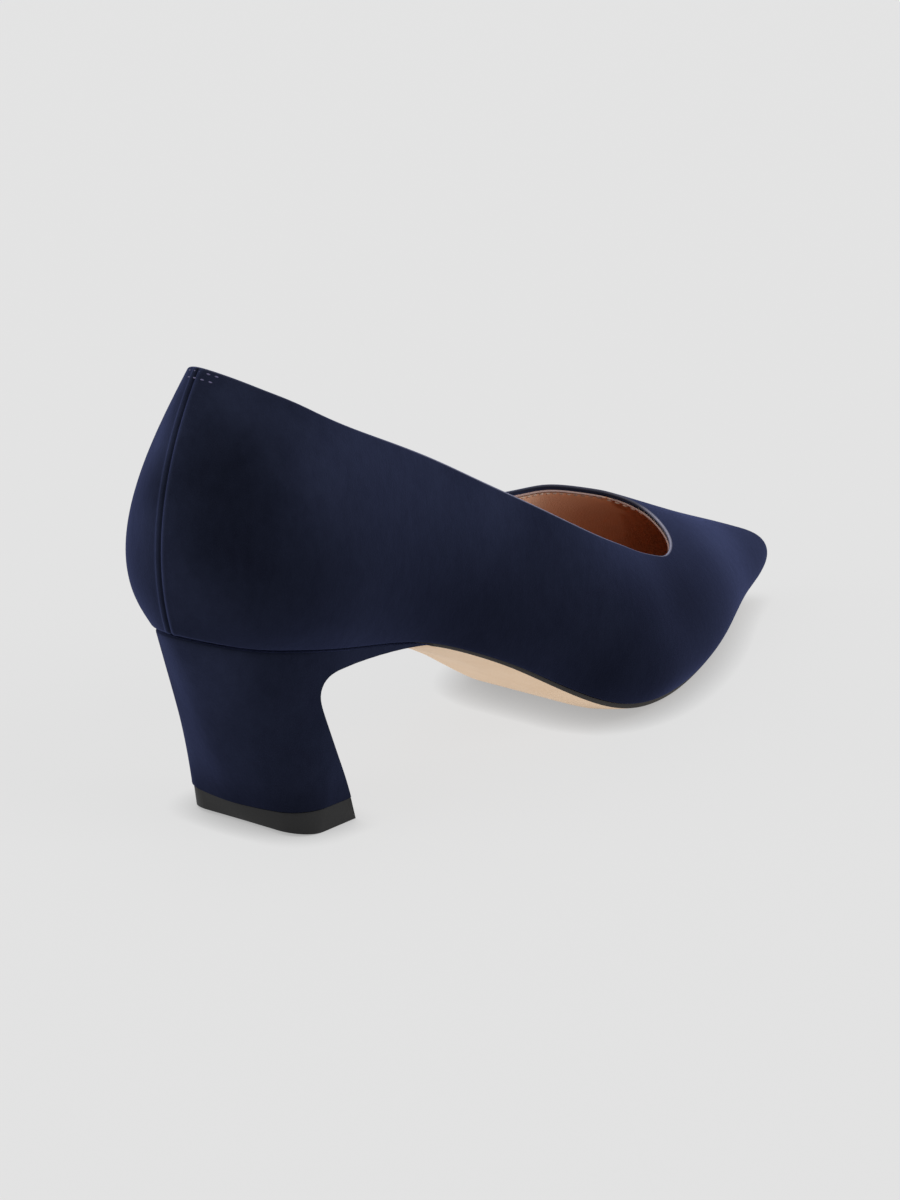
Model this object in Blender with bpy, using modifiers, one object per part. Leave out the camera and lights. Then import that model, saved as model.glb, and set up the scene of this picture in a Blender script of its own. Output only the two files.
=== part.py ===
"""Suede pump: the right shoe of a pair, on a covered block heel.

The shape comes from the last that the shoe is made on. The last is a ring of ribs that stand on the
feather edge, the line where upper meets sole. Each rib is one curve in an upright plane, from the feather
edge to the ridge along the top of the foot. The topline cuts the ribs off at the collar and throat, and past
the throat the ribs of both sides meet on the ridge.

Lengths are millimetres in the last's own frame: x runs from the back of the heel to the toe, y to the inner
side of the foot and z up from the floor. The tables give shares of the driving sizes in percent.
"""

import bmesh
import bpy
import numpy as np

MM = 0.001  # metres in a millimetre
PERCENT = 0.01

# Driving sizes
LENGTH = 250.0  # back of the heel to the toe, along the feather edge
BALL_WIDTH = 62.0  # across the feather edge at the ball
HEEL_HEIGHT = 56.0  # floor to the feather edge at the back
COLLAR_HEIGHT = 118.0  # floor to the topline at the back
WALL = 2.0  # suede, stiffener and lining of the upper
GAP = 0.3  # between pieces that meet

# Sizes of the sole pieces
INSOLE_THICK = 2.0
INSOLE_INSET = WALL + 0.5  # inside the feather edge
OUTSOLE_THICK = 3.7
OUTSOLE_TOE_THICK = 2.6  # at the tip
OUTSOLE_TAPER = 195.0  # where the sole starts to thin towards the tip
OUTSOLE_INSET = 1.0  # inside the feather edge

# Sizes of the heel
TOP_PIECE_THICK = 5.0
TOP_PIECE_BACK = 27.6
TOP_PIECE_FRONT = 48.0
TOP_PIECE_OUTER = 19.6  # outer side, from the middle
TOP_PIECE_INNER = 18.8
TOP_PIECE_CORNER = 7.5  # radius of the two back corners
HEEL_INSET = 0.5  # heel cover inside the feather edge
LIP_TIP = 72.0  # where the heel's side lips end under the arch
LIP_REACH_OUTER = 22.5  # from the middle to where the lips have their full length
LIP_REACH_INNER = 18.5
LIP_POWER = 5  # how late the breast turns forward into the lips

# Counts of mesh columns and rows
COLLAR_COLUMNS = 60  # along the whole topline
TURN_WAY = 20.0  # extra way for each radian that the topline turns, so that its curves have more columns
THROAT_SPREAD = 20.0  # how far the feet of the throat's columns run ahead of it
TOE_COLUMNS = 12  # on each side, from the throat to the toe tip
UPPER_ROWS = 12
OUTLINE_POINTS = 120
PROFILE_POINTS = 64
HEEL_POINTS = 56
BREAST_POINTS = 25

# Height of the feather edge: share of length, share of heel height
PROFILE_COLUMNS = ("along", "high")
PROFILE = [
    (1.4, 98.2),
    (5.2, 92.9),
    (9.6, 88.9),
    (15.2, 84.1),
    (22.0, 78.9),
    (28.8, 71.4),
    (35.2, 60.0),
    (42.0, 45.2),
    (50.0, 24.8),
    (56.8, 11.0),
    (63.2, 6.4),
    (70.0, 5.7),
    (80.0, 7.5),
    (90.0, 10.7),
    (100.8, 16.1),
]

# Top line of the last: share of length, of ball width and of collar height
RIDGE_COLUMNS = ("along", "across", "high")
RIDGE = [
    (18.0, 0.0, 121.2),
    (34.0, 0.8, 116.1),
    (46.0, 4.0, 99.2),
    (56.0, 10.5, 72.9),
    (64.0, 15.8, 52.3),
    (71.2, 22.9, 41.2),
    (76.0, 23.7, 36.5),
    (79.0, 22.2, 33.8),
    (86.4, 13.2, 26.9),
    (92.0, 9.7, 22.2),
    (96.0, 7.3, 18.7),
]

# Ribs from the back of the heel along the outer side to the toe, and back along the inner side.
# along and across place the foot of the rib on the feather edge, and ridge its top on the ridge, in shares of
# length and ball width. flare is its lean outwards at the foot in degrees, root the share of its height that
# the lean reaches, and crown the share of its reach that the top stays flat.
RIB_COLUMNS = ("along", "across", "ridge", "flare", "root", "crown")
RIBS = [
    (1.4, 0.0, 18.0, 19, 0.54, 0.31),
    (3.3, -15.8, 18.4, 31, 0.48, 0.17),
    (6.3, -26.6, 19.6, 43, 0.45, 0.05),
    (12.0, -34.6, 22.0, 43, 0.41, 0.04),
    (20.8, -38.1, 26.4, 34, 0.36, 0.09),
    (34.0, -39.5, 37.6, 23, 0.32, 0.33),
    (48.0, -43.5, 49.6, 28, 0.36, 0.44),
    (60.0, -49.6, 61.6, 39, 0.42, 0.48),
    (70.1, -42.8, 71.2, 42, 0.42, 0.575),
    (82.0, -25.6, 82.4, 41, 0.44, 0.56),
    (92.7, -5.4, 91.6, 43, 0.545, 0.63),
    (98.4, 2.8, 95.2, 43, 0.573, 0.683),
    (100.1, 7.2, 96.0, 40, 0.59, 0.717),
    (98.7, 13.2, 95.2, 44, 0.555, 0.688),
    (93.3, 23.1, 91.6, 44, 0.525, 0.66),
    (83.2, 38.7, 82.4, 40, 0.44, 0.64),
    (72.8, 50.8, 72.0, 33, 0.51, 0.77),
    (63.2, 50.0, 63.2, 26, 0.28, 0.56),
    (50.0, 32.3, 51.2, 28, 0.36, 0.55),
    (36.0, 28.2, 38.8, 24, 0.32, 0.38),
    (21.6, 33.6, 26.8, 34, 0.36, 0.10),
    (12.0, 33.3, 22.0, 43, 0.41, 0.04),
    (6.3, 25.8, 19.6, 43, 0.45, 0.05),
    (3.3, 15.8, 18.4, 31, 0.48, 0.17),
]
TOE_TIP_RIB = 12

# Topline from the throat along the outer side to the back seam, and along the inner side to the throat again.
# round is the way along the feather edge from the back seam to the rib, negative on the inner side, in shares
# of length. share is the part of that rib's curve that lies under the topline.
TOPLINE_COLUMNS = ("round", "share")
TOPLINE = [
    (80.6, 93.9),
    (81.3, 86.6),
    (81.2, 78.2),
    (80.4, 69.2),
    (78.7, 61.8),
    (76.4, 57.0),
    (73.7, 54.8),
    (70.6, 54.4),
    (64.8, 51.0),
    (59.9, 46.2),
    (56.5, 42.6),
    (50.5, 38.5),
    (44.4, 37.1),
    (36.4, 38.1),
    (30.6, 40.1),
    (23.8, 43.8),
    (15.4, 49.1),
    (9.2, 52.2),
    (4.5, 52.2),
    (0.0, 50.7),
    (-4.5, 52.2),
    (-9.0, 52.4),
    (-15.3, 49.5),
    (-23.8, 44.9),
    (-30.6, 41.7),
    (-36.4, 40.0),
    (-44.2, 39.7),
    (-50.2, 42.1),
    (-56.6, 48.3),
    (-62.8, 56.5),
    (-71.3, 70.3),
    (-74.4, 78.9),
    (-77.2, 86.2),
    (-79.5, 92.1),
]
THROAT = LENGTH * 77.2 * PERCENT  # where the topline crosses the ridge

# Breast of the heel, from the floor up: the curve along its two side edges, and the curve up its middle
BREAST_COLUMNS = ("edge_x", "edge_z", "middle_x", "middle_z")
BREAST = [
    (50.4, -6.0, 50.0, -6.0),
    (47.7, 0.0, 47.1, 0.0),
    (42.1, 12.0, 41.2, 12.0),
    (37.7, 21.0, 36.7, 21.0),
    (34.1, 29.3, 33.1, 29.3),
    (32.4, 34.6, 31.7, 34.6),
    (33.2, 38.2, 31.9, 38.6),
    (36.4, 40.6, 32.6, 42.5),
    (42.6, 41.6, 33.3, 45.5),
    (52.4, 41.5, 34.0, 48.4),
    (62.4, 40.7, 34.7, 53.2),
    (72.0, 39.2, 35.4, 63.0),
    (82.0, 36.8, 36.0, 82.0),
]

# Colours of the materials: red, green, blue, roughness
FINISHES = {
    "upper": (0.016, 0.021, 0.048, 0.95),
    "insole": (0.20, 0.075, 0.035, 0.60),
    "outsole": (0.58, 0.42, 0.27, 0.55),
    "heel": (0.016, 0.021, 0.048, 0.95),
    "heel_top_piece": (0.030, 0.030, 0.032, 0.70),
}


def column(table, names, name):
    return np.array([row[names.index(name)] for row in table], float)


def smooth(knots, values, at, closed=False):
    """Cubic curve through values at the knots, with continuous curvature, read at the given places."""
    knots = np.asarray(knots, float)
    values = np.asarray(values, float).reshape(len(knots), -1)
    at = np.asarray(at, float)
    span = np.diff(knots)
    rise = np.diff(values, axis=0) / span[:, None]
    system = np.zeros((len(knots), len(knots)))
    right = np.zeros_like(values)
    for i in range(1, len(knots) - 1):
        system[i, i - 1 : i + 2] = span[i - 1], 2 * (span[i - 1] + span[i]), span[i]
        right[i] = 6 * (rise[i] - rise[i - 1])
    if closed:
        system[0, [0, -1]] = 1, -1
        system[-1, [0, 1, -2]] = 2 * (span[0] + span[-1]), span[0], span[-1]
        right[-1] = 6 * (rise[0] - rise[-1])
    else:
        system[0, 0] = system[-1, -1] = 1
    bend = np.linalg.solve(system, right)
    i = np.clip(np.searchsorted(knots, at, side="right") - 1, 0, len(knots) - 2)
    width = span[i][:, None]
    after = (at - knots[i])[:, None]
    before = width - after
    curve = (bend[i] * before**3 + bend[i + 1] * after**3) / (6 * width)
    curve += (values[i] / width - bend[i] * width / 6) * before
    curve += (values[i + 1] / width - bend[i + 1] * width / 6) * after
    return curve


def feather_height(x):
    knots = column(PROFILE, PROFILE_COLUMNS, "along") * PERCENT * LENGTH
    heights = column(PROFILE, PROFILE_COLUMNS, "high") * PERCENT * HEEL_HEIGHT
    x = np.clip(np.ravel(x), knots[0], knots[-1])
    return smooth(knots, heights, x)[:, 0]


def ridge(x):
    """y, z and slope of the ridge at each x."""
    knots = column(RIDGE, RIDGE_COLUMNS, "along") * PERCENT * LENGTH
    across = column(RIDGE, RIDGE_COLUMNS, "across") * PERCENT * BALL_WIDTH
    high = column(RIDGE, RIDGE_COLUMNS, "high") * PERCENT * COLLAR_HEIGHT
    y, z = smooth(knots, np.stack([across, high], 1), x).T
    step = 0.5
    slope = (smooth(knots, high, x + step) - smooth(knots, high, x - step))[:, 0] / (2 * step)
    return y, z, slope


def rib_table():
    """Rib rows in millimetres, the first one again at the end, and their places round the feather edge."""
    scale = {"along": PERCENT * LENGTH, "across": PERCENT * BALL_WIDTH, "ridge": PERCENT * LENGTH}
    rows = np.stack([column(RIBS, RIB_COLUMNS, name) * scale.get(name, 1) for name in RIB_COLUMNS], 1)
    rows = np.vstack([rows, rows[:1]])
    places = np.concatenate([[0], np.cumsum(np.hypot(*np.diff(rows[:, :2], axis=0).T))])
    return rows, places


RIB_ROWS, RIB_PLACES = rib_table()
ROUND = RIB_PLACES[-1]  # way round the feather edge
TOE_TIP = RIB_PLACES[TOE_TIP_RIB]


def ribs_at(places):
    rows = smooth(RIB_PLACES, RIB_ROWS, np.mod(places, ROUND), closed=True)
    ridge_column = RIB_COLUMNS.index("ridge")
    rows[:, ridge_column] = np.clip(rows[:, ridge_column], *RIB_ROWS[[0, TOE_TIP_RIB], ridge_column])
    return rows


def last_points(places, shares):
    """Points of the last at ways round the feather edge and shares of the ribs, up to 1 on the ridge."""
    foot_x, foot_y, ridge_x, flare, root, crown = ribs_at(np.ravel(places)).T
    share = np.ravel(shares)
    foot_z = feather_height(foot_x)
    ridge_y, ridge_z, slope = ridge(ridge_x)
    reach = np.hypot(foot_x - ridge_x, foot_y - ridge_y)
    out_x = (foot_x - ridge_x) / reach
    out_y = (foot_y - ridge_y) / reach
    lean = root * (ridge_z - foot_z)
    flat = crown * reach
    start = (1 - share) ** 3
    near_start = 3 * share * (1 - share) ** 2
    near_end = 3 * share**2 * (1 - share)
    end = share**3
    out = reach * start + (reach + lean * np.sin(np.radians(flare))) * near_start + flat * near_end
    z = foot_z * start + (foot_z + lean * np.cos(np.radians(flare))) * near_start
    z += (ridge_z + slope * out_x * flat) * near_end + ridge_z * end
    points = np.stack([ridge_x + out_x * out, ridge_y + out_y * out, z], -1)
    return points.reshape(np.shape(places) + (3,))


def places_under_ridge(ridge_x):
    """Ways round the feather edge to the outer and the inner rib that meet at each x of the ridge."""
    outer = np.linspace(0, TOE_TIP, 2001)
    inner = np.linspace(0, TOE_TIP - ROUND, 2001)
    ridge_column = RIB_COLUMNS.index("ridge")
    return [np.interp(ridge_x, ribs_at(side)[:, ridge_column], side) for side in (outer, inner)]


def way_along(points):
    return np.concatenate([[0], np.cumsum(np.linalg.norm(np.diff(points, axis=0), axis=1))])


def collar_columns():
    """Feet, ends and shares of the collar's mesh columns, from the throat round the back to the throat.

    At the back a column stands under its end. Towards the throat the feet spread out evenly and run ahead of
    the throat, so that columns come to the front of the throat from ahead.
    """
    throat = places_under_ridge(THROAT)
    rows = np.array([(throat[0], LENGTH), *(np.array(TOPLINE) * PERCENT * LENGTH), (throat[1], LENGTH)])
    way = way_along(rows)
    ends, shares = smooth(way, rows, np.linspace(0, way[-1], 2001)).T
    shares = np.minimum(shares / LENGTH, 1)
    points = last_points(ends, shares)
    steps = np.diff(points, axis=0)
    steps /= np.linalg.norm(steps, axis=1)[:, None]
    turns = np.arccos(np.clip((steps[1:] * steps[:-1]).sum(axis=1), -1, 1))
    way = way_along(points)
    back = np.interp(0, -ends, way)
    to_throat = np.abs(way - back) / np.where(way < back, back, way[-1] - back)
    even = np.where(way < back, throat[0] + THROAT_SPREAD, throat[1] - THROAT_SPREAD) * to_throat
    ease = np.clip(2 * to_throat - 0.8, 0, 1)
    feet = ends + (even - ends) * ease**2 * (3 - 2 * ease)
    way += TURN_WAY * np.concatenate([[0], np.cumsum(turns), [turns.sum()]])
    at = np.linspace(0, way[-1], COLLAR_COLUMNS + 1)
    return [np.interp(at, way, value) for value in (feet, ends, shares)]


def toe_columns():
    """Feet and ends of columns that meet on the ridge, from the throat's inner side round to its outer."""
    share = np.linspace(0, 1, TOE_COLUMNS + 1)[1:]
    throat = places_under_ridge(THROAT)[0]
    outer = throat + (TOE_TIP - throat) * share * (1.5 - 0.5 * share)
    inner = places_under_ridge(ribs_at(outer)[:, RIB_COLUMNS.index("ridge")])[1]
    spread = THROAT_SPREAD * (1 - share) ** 2
    ends = np.concatenate([inner, outer[-2::-1] - ROUND])
    return ends + np.concatenate([-spread, spread[-2::-1]]), ends


def upper_surface():
    """Grid of points on the outside of the upper: columns from the feather edge to the topline or the ridge.

    The columns run so that the faces between them point outwards.
    """
    feet, ends, shares = collar_columns()
    toe_feet, toe_ends = toe_columns()
    feet = np.concatenate([feet, toe_feet, feet[:1] - ROUND])
    ends = np.concatenate([ends, toe_ends, ends[:1] - ROUND])
    shares = np.concatenate([shares, np.ones(len(toe_ends)), shares[:1]])
    rows = np.linspace(0, 1, UPPER_ROWS + 1)
    return last_points(feet[:, None] + (ends - feet)[:, None] * rows**3, shares[:, None] * rows)[::-1]


def outline(inset):
    """Feather edge in plan, moved inwards, as dense points."""
    points = ribs_at(np.linspace(0, ROUND, 2001)[:-1])[:, :2]
    along = np.roll(points, -1, axis=0) - np.roll(points, 1, axis=0)
    along /= np.linalg.norm(along, axis=1)[:, None]
    inwards = np.stack([-along[:, 1], along[:, 0]], 1)
    return points + inset * inwards


def resample(points, count):
    """Points at equal steps along a line of points."""
    way = way_along(points)
    steps = np.linspace(0, way[-1], count)
    return np.stack([np.interp(steps, way, points[:, i]) for i in range(points.shape[1])], 1)


def finish_of(name):
    red, green, blue, roughness = FINISHES[name]
    material = bpy.data.materials.new(name)
    material.use_nodes = True
    shader = material.node_tree.nodes["Principled BSDF"]
    shader.inputs["Base Color"].default_value = (red, green, blue, 1)
    shader.inputs["Roughness"].default_value = roughness
    shader.inputs["Metallic"].default_value = 0
    return material


def add_object(name, bm, collection, parent):
    mesh = bpy.data.meshes.new(name)
    bm.to_mesh(mesh)
    bm.free()
    obj = bpy.data.objects.new(name, mesh)
    collection.objects.link(obj)
    obj.parent = parent
    return obj


def add_part(name, bm, collection, parent):
    obj = add_object(name, bm, collection, parent)
    obj.data.materials.append(finish_of(name))
    obj.data.shade_smooth()
    obj.data.set_sharp_from_angle(angle=np.radians(40))
    return obj


def add_cutter(name, bm, collection, parent):
    obj = add_object(name, bm, collection, parent)
    obj.hide_render = True
    obj.display_type = "WIRE"
    return obj


def cut(obj, cutter, operation):
    boolean = obj.modifiers.new(cutter.name, "BOOLEAN")
    boolean.object = cutter
    boolean.operation = operation
    boolean.solver = "EXACT"


def extruded(points, way):
    """Solid between a flat outline and the same outline moved along a way, all in millimetres."""
    bm = bmesh.new()
    face = bm.faces.new([bm.verts.new(np.asarray(point) * MM) for point in points])
    grown = bmesh.ops.extrude_face_region(bm, geom=[face])["geom"]
    moved = [item for item in grown if isinstance(item, bmesh.types.BMVert)]
    bmesh.ops.translate(bm, verts=moved, vec=np.asarray(way) * MM)
    bmesh.ops.recalc_face_normals(bm, faces=bm.faces)
    return bm


def plan_solid(points, low, high):
    """Outline in plan, made a solid between two heights."""
    return extruded([(x, y, low) for x, y in points], (0, 0, high - low))


def profile_solid(x, low, high):
    """Side profile between two heights at each x, made a solid over the shoe's whole width."""
    bottom = [(a, -BALL_WIDTH, z) for a, z in zip(x, low)]
    top = [(a, -BALL_WIDTH, z) for a, z in zip(x, high)]
    return extruded(bottom + top[::-1], (0, 2 * BALL_WIDTH, 0))


def surface_grid(points):
    """Grid of faces through an array of points, columns by rows."""
    columns, rows = points.shape[:2]
    bm = bmesh.new()
    bmesh.ops.create_grid(bm, x_segments=columns - 1, y_segments=rows - 1, size=1)
    bm.verts.ensure_lookup_table()
    for vert, point in zip(bm.verts, points.transpose(1, 0, 2).reshape(-1, 3)):
        vert.co = point * MM
    return bm


def lofted(rings):
    """Solid through rings of points that have equal counts, closed at both ends."""
    bm = bmesh.new()
    loops = []
    for ring in rings:
        verts = [bm.verts.new(point * MM) for point in ring]
        loops.append([bm.edges.new((a, b)) for a, b in zip(verts, verts[1:] + verts[:1])])
    for low, high in zip(loops, loops[1:]):
        bmesh.ops.bridge_loops(bm, edges=low + high)
    for loop in (loops[0], loops[-1]):
        bmesh.ops.contextual_create(bm, geom=loop)
    bmesh.ops.recalc_face_normals(bm, faces=bm.faces)
    return bm


def make_upper(surface, parts, shoe):
    """Shell of vamp and quarters: the outside of the last under the topline, with a wall inwards."""
    bm = surface_grid(surface)
    bmesh.ops.remove_doubles(bm, verts=bm.verts, dist=0.01 * MM)
    upper = add_part("upper", bm, parts, shoe)
    wall = upper.modifiers.new("wall", "SOLIDIFY")
    wall.thickness = WALL * MM
    wall.offset = -1
    wall.use_even_offset = True
    return upper


def make_insole(parts, cutters, shoe):
    """Board inside the shell, on the same profile as the feather edge."""
    plan = resample(outline(INSOLE_INSET), OUTLINE_POINTS)
    bm = plan_solid(plan, -HEEL_HEIGHT, 2 * HEEL_HEIGHT)
    insole = add_part("insole", bm, parts, shoe)
    x = np.linspace(0, LENGTH, PROFILE_POINTS)
    low = feather_height(x)
    layer = add_cutter("insole_layer", profile_solid(x, low, low + INSOLE_THICK), cutters, shoe)
    cut(insole, layer, "INTERSECT")


def breast_curves(y):
    """x and z of the breast from the floor up, at each place across the heel. Its sides turn into lips."""
    steps = np.linspace(0, 1, 2 * len(BREAST))
    knots = np.linspace(0, 1, len(BREAST))
    edge_x, edge_z, middle_x, middle_z = smooth(knots, BREAST, steps).T
    reach = np.where(y < 0, LIP_REACH_OUTER, LIP_REACH_INNER)
    forward = (np.minimum(np.abs(y) / reach, 1) ** LIP_POWER)[:, None]
    return middle_x + (edge_x - middle_x) * forward, middle_z + (edge_z - middle_z) * forward


def outsole_plan():
    """Outline of the outsole: the feather edge to the heel's lips, then the breast's top between them."""
    points = outline(OUTSOLE_INSET)
    ahead = points[:, 0] > LIP_TIP + 2 * GAP
    y = np.linspace(points[ahead][-1, 1], points[ahead][0, 1], BREAST_POINTS)[1:-1]
    rear = []
    clear = y + 2 * GAP * np.sign(y)
    for across, x, z in zip(y, *breast_curves(clear)):
        meets_seat = np.argmax(z > feather_height(x))
        rear.append((min(x[meets_seat], LIP_TIP) + 2 * GAP, across))
    return np.vstack([resample(points[ahead], OUTLINE_POINTS), rear])


def make_outsole(parts, cutters, shoe):
    """Leather sole with arch and toe spring, flat on the floor under the ball."""
    outsole = add_part("outsole", plan_solid(outsole_plan(), -HEEL_HEIGHT, 2 * HEEL_HEIGHT), parts, shoe)
    x = np.linspace(TOP_PIECE_BACK, LENGTH, PROFILE_POINTS)
    feather = feather_height(x)
    taper = np.clip((x - OUTSOLE_TAPER) / (LENGTH - OUTSOLE_TAPER), 0, 1)
    low = np.maximum(feather - OUTSOLE_THICK + (OUTSOLE_THICK - OUTSOLE_TOE_THICK) * taper, 0)
    layer = add_cutter("outsole_layer", profile_solid(x, low, feather - GAP), cutters, shoe)
    cut(outsole, layer, "INTERSECT")


def top_piece_plan():
    """U of the top piece, from its outer front corner round the back to its inner front corner."""
    turn = np.linspace(0, np.pi / 2, 13)
    rear = TOP_PIECE_BACK + TOP_PIECE_CORNER
    sides = []
    for side in (TOP_PIECE_OUTER, TOP_PIECE_INNER):
        corner_x = rear - TOP_PIECE_CORNER * np.sin(turn)
        corner_y = side - TOP_PIECE_CORNER * (1 - np.cos(turn))
        sides.append(np.vstack([[(TOP_PIECE_FRONT, side)], np.stack([corner_x, corner_y], 1)]))
    outer, inner = sides
    return resample(np.vstack([outer * (1, -1), inner[::-1]]), HEEL_POINTS)


def seat_plan():
    """U of the heel seat under the feather edge, from the outer lip's tip round the back to the inner one."""
    points = outline(HEEL_INSET)
    behind = points[:, 0] < LIP_TIP
    first_outer = np.argmax(~behind)
    first_inner = len(behind) - np.argmax(~behind[::-1])
    return resample(np.vstack([points[:first_outer][::-1], points[first_inner:][::-1]]), HEEL_POINTS)


def heel_ring(z):
    """Ring of the heel block at one height, on straight lines from the top piece up to the seat."""
    foot, seat = top_piece_plan(), seat_plan()
    share = z / feather_height(seat[:, 0])[:, None]
    plan = foot + (seat - foot) * share
    return np.column_stack([plan, np.full(len(plan), z)])


def breast_cutter():
    """Solid in front of the breast and under the lips."""
    y = np.linspace(-BALL_WIDTH / 2, BALL_WIDTH / 2, BREAST_POINTS)
    x, z = breast_curves(y)
    bm = surface_grid(np.stack([x, np.broadcast_to(y[:, None], x.shape), z], -1))
    grown = bmesh.ops.extrude_face_region(bm, geom=list(bm.faces))["geom"]
    moved = [item for item in grown if isinstance(item, bmesh.types.BMVert)]
    ahead = TOP_PIECE_FRONT * MM
    bmesh.ops.translate(bm, verts=moved, vec=(ahead, 0, -ahead))
    bmesh.ops.recalc_face_normals(bm, faces=bm.faces)
    return bm


def make_heel(parts, cutters, shoe):
    """Covered block heel: a straight shaft from the top piece to the seat, hollowed by the breast."""
    seat = seat_plan()
    seat_z = feather_height(seat[:, 0])
    rings = [
        heel_ring(TOP_PIECE_THICK + GAP),
        np.column_stack([seat, seat_z + GAP]),
        np.column_stack([seat, seat_z + TOP_PIECE_THICK]),
    ]
    heel = add_part("heel", lofted(rings), parts, shoe)
    breast = add_cutter("heel_breast", breast_cutter(), cutters, shoe)
    cut(heel, breast, "DIFFERENCE")
    x = np.linspace(-LIP_TIP, 2 * LIP_TIP, 3 * PROFILE_POINTS)
    low = feather_height(x) - GAP
    shell = add_cutter("heel_seat", profile_solid(x, low, np.full(len(x), 2 * HEEL_HEIGHT)), cutters, shoe)
    cut(heel, shell, "DIFFERENCE")


def make_top_piece(parts, shoe):
    """Rubber piece under the heel, the lowest slice of the same block."""
    edge_x = column(BREAST, BREAST_COLUMNS, "edge_x")
    edge_z = column(BREAST, BREAST_COLUMNS, "edge_z")
    rings = []
    for z in (0, TOP_PIECE_THICK):
        ring = heel_ring(z)
        ring[:, 0] = np.minimum(ring[:, 0], np.interp(z, edge_z, edge_x))
        rings.append(ring)
    add_part("heel_top_piece", lofted(rings), parts, shoe)


for old in list(bpy.data.objects):
    bpy.data.objects.remove(old, do_unlink=True)

parts = bpy.data.collections.new("suede_pump")
cutters = bpy.data.collections.new("cutters")
for collection in (parts, cutters):
    bpy.context.scene.collection.children.link(collection)

surface = upper_surface()
middle = (surface.min(axis=(0, 1)) + surface.max(axis=(0, 1))) / 2
shoe = bpy.data.objects.new("shoe", None)
shoe.location = (-middle[0] * MM, -middle[1] * MM, 0)
parts.objects.link(shoe)

make_upper(surface, parts, shoe)
make_insole(parts, cutters, shoe)
make_outsole(parts, cutters, shoe)
make_heel(parts, cutters, shoe)
make_top_piece(parts, shoe)
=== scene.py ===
"""Navy suede pump, a right shoe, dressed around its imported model."""

import math

import bmesh
import bpy
import numpy as np
from mathutils import Matrix, Vector


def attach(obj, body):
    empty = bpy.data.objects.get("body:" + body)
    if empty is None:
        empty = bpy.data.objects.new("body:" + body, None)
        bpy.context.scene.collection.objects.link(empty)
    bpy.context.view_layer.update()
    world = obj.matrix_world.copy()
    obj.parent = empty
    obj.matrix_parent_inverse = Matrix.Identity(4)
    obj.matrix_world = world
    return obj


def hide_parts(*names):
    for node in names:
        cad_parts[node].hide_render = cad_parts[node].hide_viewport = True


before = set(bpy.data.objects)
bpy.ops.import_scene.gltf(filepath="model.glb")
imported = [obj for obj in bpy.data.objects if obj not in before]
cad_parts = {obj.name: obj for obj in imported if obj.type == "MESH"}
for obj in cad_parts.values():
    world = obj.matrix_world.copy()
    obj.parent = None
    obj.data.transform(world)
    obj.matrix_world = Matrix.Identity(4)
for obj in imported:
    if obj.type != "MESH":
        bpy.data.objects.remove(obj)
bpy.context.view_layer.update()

# Upper. Vamp and quarters are one sheet of navy suede over a stiffener, closed by a seam up the back of the
# heel. It is pulled over the last, whose ribs give its shape. Its bottom edge is turned under at the sole,
# and its top edge is folded over and runs down inside as a narrow dark band.
PERCENT = 0.01
MILLIMETRE = 0.001
LENGTH = 250.0  # of the last, in millimetres as all sizes here
BALL_WIDTH = 62.0
HEEL_HEIGHT = 56.0
COLLAR_HEIGHT = 118.0
WALL = 2.0  # of suede, stiffener and lining
GAP = 0.3  # between pieces
LAST_MIDDLE = (126.0701, 0.4206, 0.0)  # the part's origin on the last

# Feather edge seen from the side: along and high, in percent of the length and the heel's height.
PROFILE = [
    (1.4, 98.2),
    (5.2, 92.9),
    (9.6, 88.9),
    (15.2, 84.1),
    (22.0, 78.9),
    (28.8, 71.4),
    (35.2, 60.0),
    (42.0, 45.2),
    (50.0, 24.8),
    (56.8, 11.0),
    (63.2, 6.4),
    (70.0, 5.7),
    (80.0, 7.5),
    (90.0, 10.7),
    (100.8, 16.1),
]
# Ridge of the last: along, across and high, in percent of the length, ball's width and collar's height.
RIDGE = [
    (18.0, 0.0, 121.2),
    (34.0, 0.8, 116.1),
    (46.0, 4.0, 99.2),
    (56.0, 10.5, 72.9),
    (64.0, 15.8, 52.3),
    (71.2, 22.9, 41.2),
    (76.0, 23.7, 36.5),
    (79.0, 22.2, 33.8),
    (86.4, 13.2, 26.9),
    (92.0, 9.7, 22.2),
    (96.0, 7.3, 18.7),
]
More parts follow.
